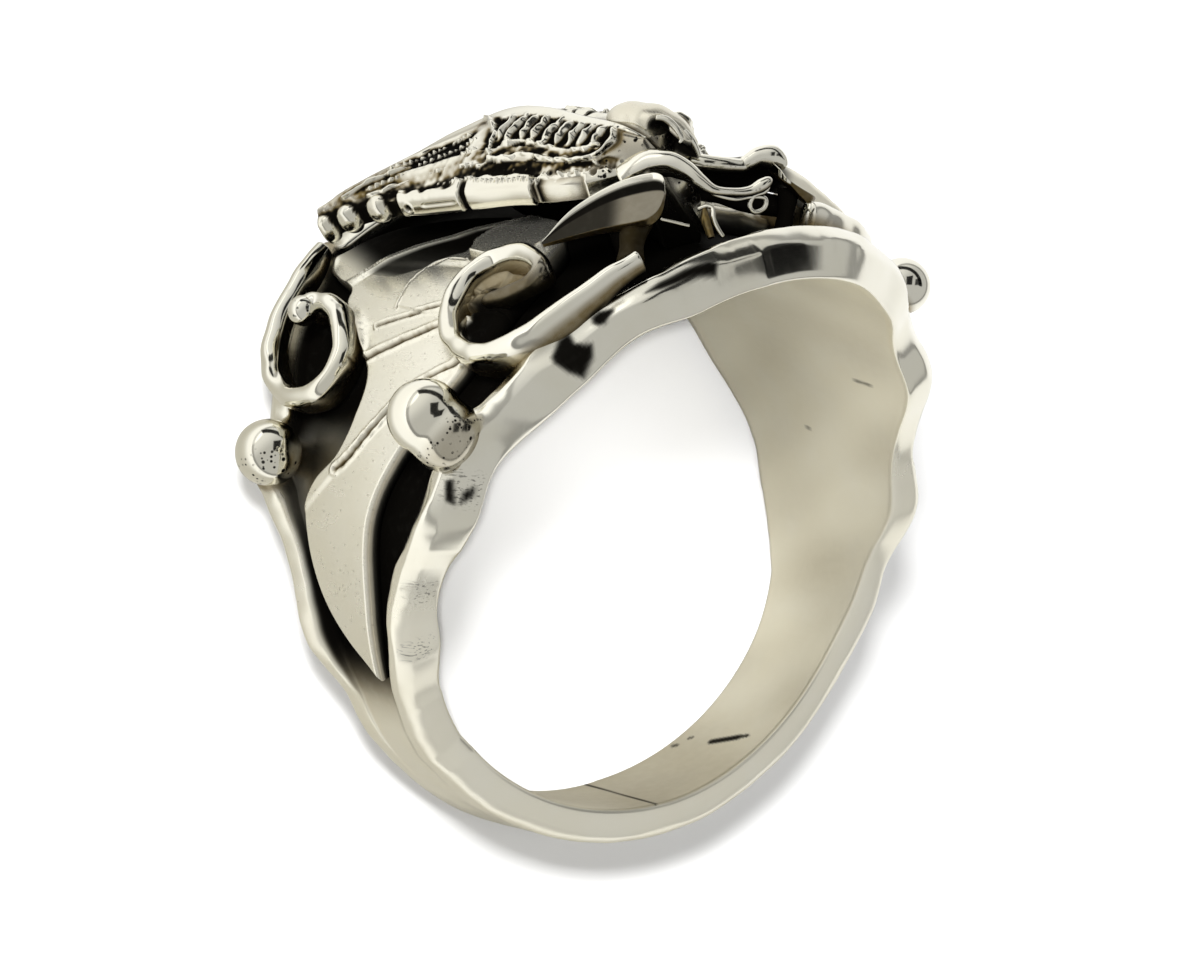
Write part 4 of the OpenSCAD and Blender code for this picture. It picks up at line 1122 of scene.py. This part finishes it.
def silver(slot, finish):
    """Silver that is polished high, brushed in its satin places, brown at the solder and black
    in its recesses and where shade and dark reflections are painted, with scratches, pits and faint
    clouding."""
    name = f"{slot}_{finish}"
    if name in bpy.data.materials:
        return bpy.data.materials[name]
    polish, strength, grain = FINISHES[finish]
    look = bpy.context.scene.ring_finish
    material = bpy.data.materials.new(name)
    tree = Tree(material)
    spot = tree.node("ShaderNodeTexCoord", output="Object")
    soot, patina, satin, pores, filed = (tree.mask(x) for x in MASKS)
    cloud, fine = tree.noise(spot, *CLOUDS), tree.noise(spot, *GRAIN)
    brushed = tree.node("ShaderNodeMapping", None, Vector=spot, Rotation=BRUSH_TURN, Scale=BRUSH)
    lines = tree.noise(brushed, 1.0, 2.0)
    turn = Vector(FILE_WAY).to_track_quat("X", "Z").to_euler()
    cuts = tree.node("ShaderNodeMapping", {"vector_type": "TEXTURE"}, Vector=spot, Rotation=turn,
                     Scale=FILE_CUT)
    cuts = tree.noise(cuts, 1.0, 2.0).step(0.56, 0.66) * filed.step(0.15, 0.8)
    pinholes, pits = tree.cells(spot, PINHOLES), tree.cells(spot, PITTING)
    holes = pinholes.step(0.32, 0.18) * pores.step(0.05, 0.9) * fine.step(0.4, 0.6)
    holes = holes.most(pits.step(0.20, 0.12) * pores.step(0.3, 0.8) * cloud.step(0.45, 0.6))
    tone = tree.mix(cloud.step(0.35, 0.7) * 0.5, look.silver, look.warm)
    tone = tree.mix(satin * (0.6 + 0.4 * cloud.step(0.3, 0.65)), tone, look.satin)
    tone = tree.mix(patina * (0.92 + 0.08 * fine.step(0.32, 0.62)), tone, look.patina)
    black = soot.most(holes)
    tone = tree.mix(cuts * 0.75, tone, look.filed)
    tone = tree.mix(black * (0.97 + 0.03 * fine.step(0.3, 0.5)), tone, look.soot)
    rough = polish + satin * 0.22 + patina * 0.18 + black * 0.25
    rough = rough + fine * 0.05 * (1 - black) + lines.step(0.55, 0.75) * 0.05
    bumps = fine * 0.5 + lines * (0.2 + satin * 1.2) - holes * 4.0 - cuts * 2.0
    normal = tree.node("ShaderNodeBump", None, Strength=strength, Distance=BUMP * grain, Height=bumps)
    metal = tree.node("ShaderNodeBsdfPrincipled", None, Base_Color=tone, Metallic=1.0 - satin * 0.12,
                      Roughness=rough, Normal=normal)
    dull = tree.node("ShaderNodeBsdfDiffuse", None, Color=colour(look.soot))
    surface = tree.node("ShaderNodeMixShader", None, black * 0.9, metal, dull)
    tree.node("ShaderNodeOutputMaterial", None, Surface=surface)
    return material


class RingSizes(bpy.types.PropertyGroup):
    wire: bpy.props.FloatProperty(
        name="Wire radius", description="Radius of the scroll wire", default=0.52 * MM, unit="LENGTH")
    ground: bpy.props.FloatProperty(
        name="Ground", description="Thickness of the ground between the rails", default=0.9 * MM,
        unit="LENGTH")
    leaf: bpy.props.FloatProperty(
        name="Leaf", description="Thickness of the leaf plates", default=0.62 * MM, unit="LENGTH")
    step: bpy.props.FloatProperty(
        name="Feather step", description="Rise from each feather of a leaf to the next",
        default=0.07 * MM, unit="LENGTH")


class RingFinish(bpy.types.PropertyGroup):
    silver: bpy.props.FloatVectorProperty(
        name="Silver", description="Colour of the polished silver", subtype="COLOR",
        default=(0.87, 0.85, 0.75))
    warm: bpy.props.FloatVectorProperty(
        name="Warm silver", description="Colour where the polish is clouded", subtype="COLOR",
        default=(0.81, 0.78, 0.65))
    satin: bpy.props.FloatVectorProperty(
        name="Satin", description="Colour of the brushed silver", subtype="COLOR",
        default=(0.86, 0.825, 0.69))
    patina: bpy.props.FloatVectorProperty(
        name="Solder", description="Colour of the stained solder", subtype="COLOR",
        default=(0.20, 0.145, 0.055))
    filed: bpy.props.FloatVectorProperty(
        name="File marks", description="Colour of the file marks", subtype="COLOR",
        default=(0.16, 0.155, 0.14))
    # The blackening colour is also the colour of the painted shade and the painted dark reflections
    soot: bpy.props.FloatVectorProperty(
        name="Blackening", description="Colour of the blackened recesses", subtype="COLOR",
        default=(0.0016, 0.0014, 0.0011))


class RingStage(bpy.types.PropertyGroup):
    floor: bpy.props.FloatVectorProperty(
        name="Floor", description="Colour of the floor", subtype="COLOR", default=(0.72, 0.72, 0.72))
    mirrored: bpy.props.FloatVectorProperty(
        name="Floor in the silver", description="Colour of the floor as the silver mirrors it",
        subtype="COLOR", default=(0.32, 0.31, 0.28))
    # The greyer floor near the ring is painted shade round the ring, which only the silver mirrors
    pool: bpy.props.FloatVectorProperty(
        name="Greyer floor", description="Where the greyer floor ends and is all gone", size=2,
        unit="LENGTH", default=(0.016, 0.027))
    hole: bpy.props.FloatProperty(
        name="Hole light", description="Power of the lamp that lights the floor in the finger hole",
        default=12.0, unit="POWER")
    key: bpy.props.FloatProperty(
        name="Key light", description="Power of the lamp that throws the shadow", default=10.5,
        unit="POWER")
    fill: bpy.props.FloatProperty(
        name="Fill light", description="Power of the lamp beside the camera", default=0.9, unit="POWER")
    sky: bpy.props.FloatProperty(
        name="Tent", description="Brightness of the white tent round the ring", default=1.0,
        subtype="FACTOR")


def sizes():
    """Sizes of the ring's parts, as the panel shows them."""
    return bpy.context.scene.ring_sizes


class MakeBand(bpy.types.Operator):
    """Builds the band with its two hammered rails and blackened ground"""
    bl_idname, bl_label = "ring.make_band", "Band"

    def execute(self, context):
        make_band()
        return {"FINISHED"}


class MakeLeaves(bpy.types.Operator):
    """Builds the two engraved shoulder leaves"""
    bl_idname, bl_label = "ring.make_leaves", "Leaves"

    def execute(self, context):
        for side in (LEFT, RIGHT):
            make_leaf(side)
        return {"FINISHED"}


class MakeScrolls(bpy.types.Operator):
    """Builds the four wire scrolls"""
    bl_idname, bl_label = "ring.make_scrolls", "Scrolls"

    def execute(self, context):
        for name in SCROLLS:
            make_scroll(name)
        return {"FINISHED"}


class MakeTongues(bpy.types.Operator):
    """Builds the two drop-shaped tongues with their posts"""
    bl_idname, bl_label = "ring.make_tongues", "Tongues"

    def execute(self, context):
        for name in TONGUES:
            make_tongue(name)
        return {"FINISHED"}


class MakeBalls(bpy.types.Operator):
    """Builds the four soldered silver balls"""
    bl_idname, bl_label = "ring.make_balls", "Balls"

    def execute(self, context):
        for name in BALLS:
            make_ball(name)
        return {"FINISHED"}


class MakeEagle(bpy.types.Operator):
    """Builds the eagle: wings and back, head, beak, legs and claws"""
    bl_idname, bl_label = "ring.make_eagle", "Eagle"

    def execute(self, context):
        make_eagle_body()
        make_head()
        for name in LIMBS:
            make_limb(name)
        return {"FINISHED"}


# Camera: towards it, its right and its up, in the ring's own frame, its distance, the place that
# the picture's middle shows and its lens, in mm
CAMERA = {
    "towards": [-0.5513, -0.7997, 0.2379],
    "right": [0.8023, -0.5863, -0.112],
    "above": [0.229, 0.1291, 0.9648],
    "distance": 400,
    "aim": [0.02, 1.517],
    "lens": 328.08,
}
# Dark flags in the tent: the least and greatest share of their direction to the right, upwards
# and towards the camera, and the brightness that they leave. EDGE is half their edge's softness.
# BAND_FLAG is a strip to the upper right: its least share of that way, the shares towards the
# camera that it lies between, and its brightness
FLAGS = [[0.3, 0.66, 0.08, 0.62, 0.25, 1, 0.04], [0.8, 1, 0.05, 0.4, 0.02, 1, 0.1]]
BAND_FLAG = [0.58, 0.02, 0.31, 0.03]
EDGE = 0.012
# Half the floor's width in metres, and how much paler it is mirrored away from the ring
FLOOR_HALF, POOL_SHARE = 3.0, 0.8
# Tent's colour and least brightness as mirrored; its brighter sides: shares of the upward and of the
# leftward way, where each begins and is full, how much brighter; and the dimmer band low down: how
# much dimmer, the share of the upward way where it begins and is full
TENT_COLOUR, TENT = (1.0, 0.995, 0.975, 1), 0.54
BRIGHTER = [[0.7, 0.6, 0.05, 0.8, 0.34], [0.7, 0.7, 0.78, 0.84, 0.55]]
HORIZON = [0.45, 0.18, 0.1]
# Lamps in metres: place and size of the key light, distance and size of the fill light, distance
# and reach of the hole light; and the place in mm in the finger hole that it is aimed at
KEY_SPOT, KEY_SIZE = (-0.41, 0.248, 0.72), 0.15
FILL_AWAY, FILL_SIZE = 0.9, 0.7
HOLE_AWAY, HOLE_REACH = 0.5, 0.0112
HOLE_SPOT = [0.4, -0.55, 1.6]


def make_floor(stage):
    """The floor is one square at the ring's lowest point; the silver mirrors it greyer near the
    ring than the camera sees it, a painted shade round the ring that only the silver shows."""
    low = CAD_BOX[0].z
    corners = [(x * FLOOR_HALF, y * FLOOR_HALF, low) for x, y in ((-1, -1), (1, -1), (1, 1), (-1, 1))]
    mesh = bpy.data.meshes.new("floor")
    mesh.from_pydata(corners, [], [(0, 1, 2, 3)])
    floor = link(bpy.data.objects.new("floor", mesh))
    material = bpy.data.materials.new("floor_paper")
    tree = Tree(material)
    seen = tree.node("ShaderNodeLightPath", output="Is Camera Ray")
    spot = tree.node("ShaderNodeTexCoord", output="Object")
    away = tree.node("ShaderNodeVectorMath", {"operation": "LENGTH"}, spot)
    paper = tree.mix(away.step(*stage.pool) * POOL_SHARE, stage.mirrored, stage.floor)
    paper = tree.node("ShaderNodeBsdfDiffuse", None, Color=tree.mix(seen, paper, stage.floor))
    tree.node("ShaderNodeOutputMaterial", None, Surface=paper)
    mesh.materials.append(material)


def make_tent(stage, right, above, towards):
    """The tent is a white world for the camera; the silver mirrors it dimmer, with brighter
    sides and dark flags, each a product of smooth steps on the direction's shares."""
    world = bpy.data.worlds.new("tent")
    bpy.context.scene.world = world
    tree = Tree(world)
    way = tree.node("ShaderNodeTexCoord", output="Generated")
    a, b, c, z = (tree.node("ShaderNodeVectorMath", {"operation": "DOT_PRODUCT"}, way, tuple(v))
                  for v in (right, above, towards, (0, 0, 1)))
    glow = TENT
    for up_share, left_share, start, full, more in BRIGHTER:
        glow = glow + more * (b * up_share - a * left_share).step(start, full)
    for *ends, shade in FLAGS:
        flag = 1
        for value, least, most in zip((a, b, c), ends[::2], ends[1::2]):
            flag = flag * value.step(least - EDGE, least + EDGE)
            if most < 1:
                flag = flag * value.step(most + EDGE, most - EDGE)
        glow = glow * (1 - flag * (1 - shade))
    share, near_c, far_c, shade = BAND_FLAG
    strip = (a * 0.6 + b * 0.8).step(share - EDGE, share + EDGE) * c.step(near_c - EDGE, near_c + EDGE)
    strip = strip * c.step(far_c + EDGE, far_c - EDGE)
    glow = glow * (1 - strip * (1 - shade))
    dim, start, full = HORIZON
    glow = glow * (1 - dim * z.step(start, full))
    seen = tree.node("ShaderNodeLightPath", output="Is Camera Ray")
    glow = glow * (1 - seen) + seen
    tent = tree.node("ShaderNodeBackground", None, Color=TENT_COLOUR, Strength=glow * stage.sky)
    tree.node("ShaderNodeOutputWorld", None, Surface=tent)


def make_lamp(name, kind, spot, way, power, **settings):
    """A lamp shines back along a way and is not mirrored."""
    lamp = bpy.data.lights.new(name, kind)
    lamp.energy = power
    for key, value in settings.items():
        setattr(lamp, key, value)
    holder = link(bpy.data.objects.new(name, lamp))
    holder.location = Vector(spot)
    holder.rotation_mode = "QUATERNION"
    holder.rotation_quaternion = Vector(way).to_track_quat("Z", "Y")
    holder.visible_glossy = holder.visible_camera = False


def make_stage():
    """The stage is the floor, the tent, three lamps and the camera."""
    stage = bpy.context.scene.ring_stage
    bpy.context.scene.view_settings.view_transform = "Standard"
    towards, right, above = (place(np.array(CAMERA[k])) / MM for k in ("towards", "right", "above"))
    make_floor(stage)
    make_tent(stage, right, above, towards)
    fill = towards * FILL_AWAY
    aim = place(np.array(HOLE_SPOT)) + towards * HOLE_AWAY
    make_lamp("key", "AREA", KEY_SPOT, KEY_SPOT, stage.key, size=KEY_SIZE)
    make_lamp("fill", "AREA", fill, fill, stage.fill, size=FILL_SIZE)
    make_lamp("hole", "SPOT", aim, towards, stage.hole, spot_size=2 * math.atan(HOLE_REACH / HOLE_AWAY),
              spot_blend=0.20, shadow_soft_size=0.01)
    eye = towards * CAMERA["distance"] + right * CAMERA["aim"][0] + above * CAMERA["aim"][1]
    data = bpy.data.cameras.new("camera")
    data.lens, data.sensor_width = CAMERA["lens"], 36.0
    data.clip_start, data.clip_end = 0.01, 20.0
    camera = link(bpy.data.objects.new("camera", data))
    rows = np.stack([right, above, towards, eye * MM], -1)
    camera.matrix_world = Matrix([*rows.tolist(), [0, 0, 0, 1]])
    bpy.context.scene.camera = camera


class MakeStage(bpy.types.Operator):
    """Builds the pale floor, the soft light and the camera"""
    bl_idname, bl_label = "ring.make_stage", "Stage"

    def execute(self, context):
        make_stage()
        return {"FINISHED"}


class RingPanel(bpy.types.Panel):
    """Lists the ring's sizes, finishes and pieces"""
    bl_idname, bl_label = "VIEW3D_PT_eagle_ring", "Eagle ring"
    bl_space_type, bl_region_type, bl_category = "VIEW_3D", "UI", "Eagle ring"

    def draw(self, context):
        for group in GROUPS:
            owner = getattr(context.scene, group)
            for key in owner.__annotations__:
                self.layout.prop(owner, key)
        for operator in OPERATORS:
            self.layout.operator(operator.bl_idname)


OPERATORS = [MakeBand, MakeLeaves, MakeScrolls, MakeTongues, MakeBalls, MakeEagle, MakeStage]
GROUPS = {"ring_sizes": RingSizes, "ring_finish": RingFinish, "ring_stage": RingStage}


def register():
    for item in [*GROUPS.values(), *OPERATORS, RingPanel]:
        bpy.utils.register_class(item)
    for name, group in GROUPS.items():
        setattr(bpy.types.Scene, name, bpy.props.PointerProperty(type=group))


def unregister():
    for name in GROUPS:
        delattr(bpy.types.Scene, name)
    for item in [RingPanel, *OPERATORS[::-1], *GROUPS.values()]:
        bpy.utils.unregister_class(item)


def main():
    register()
    for operator in OPERATORS:
        group, name = operator.bl_idname.split(".")
        getattr(getattr(bpy.ops, group), name)()


if __name__ == "__main__":
    main()
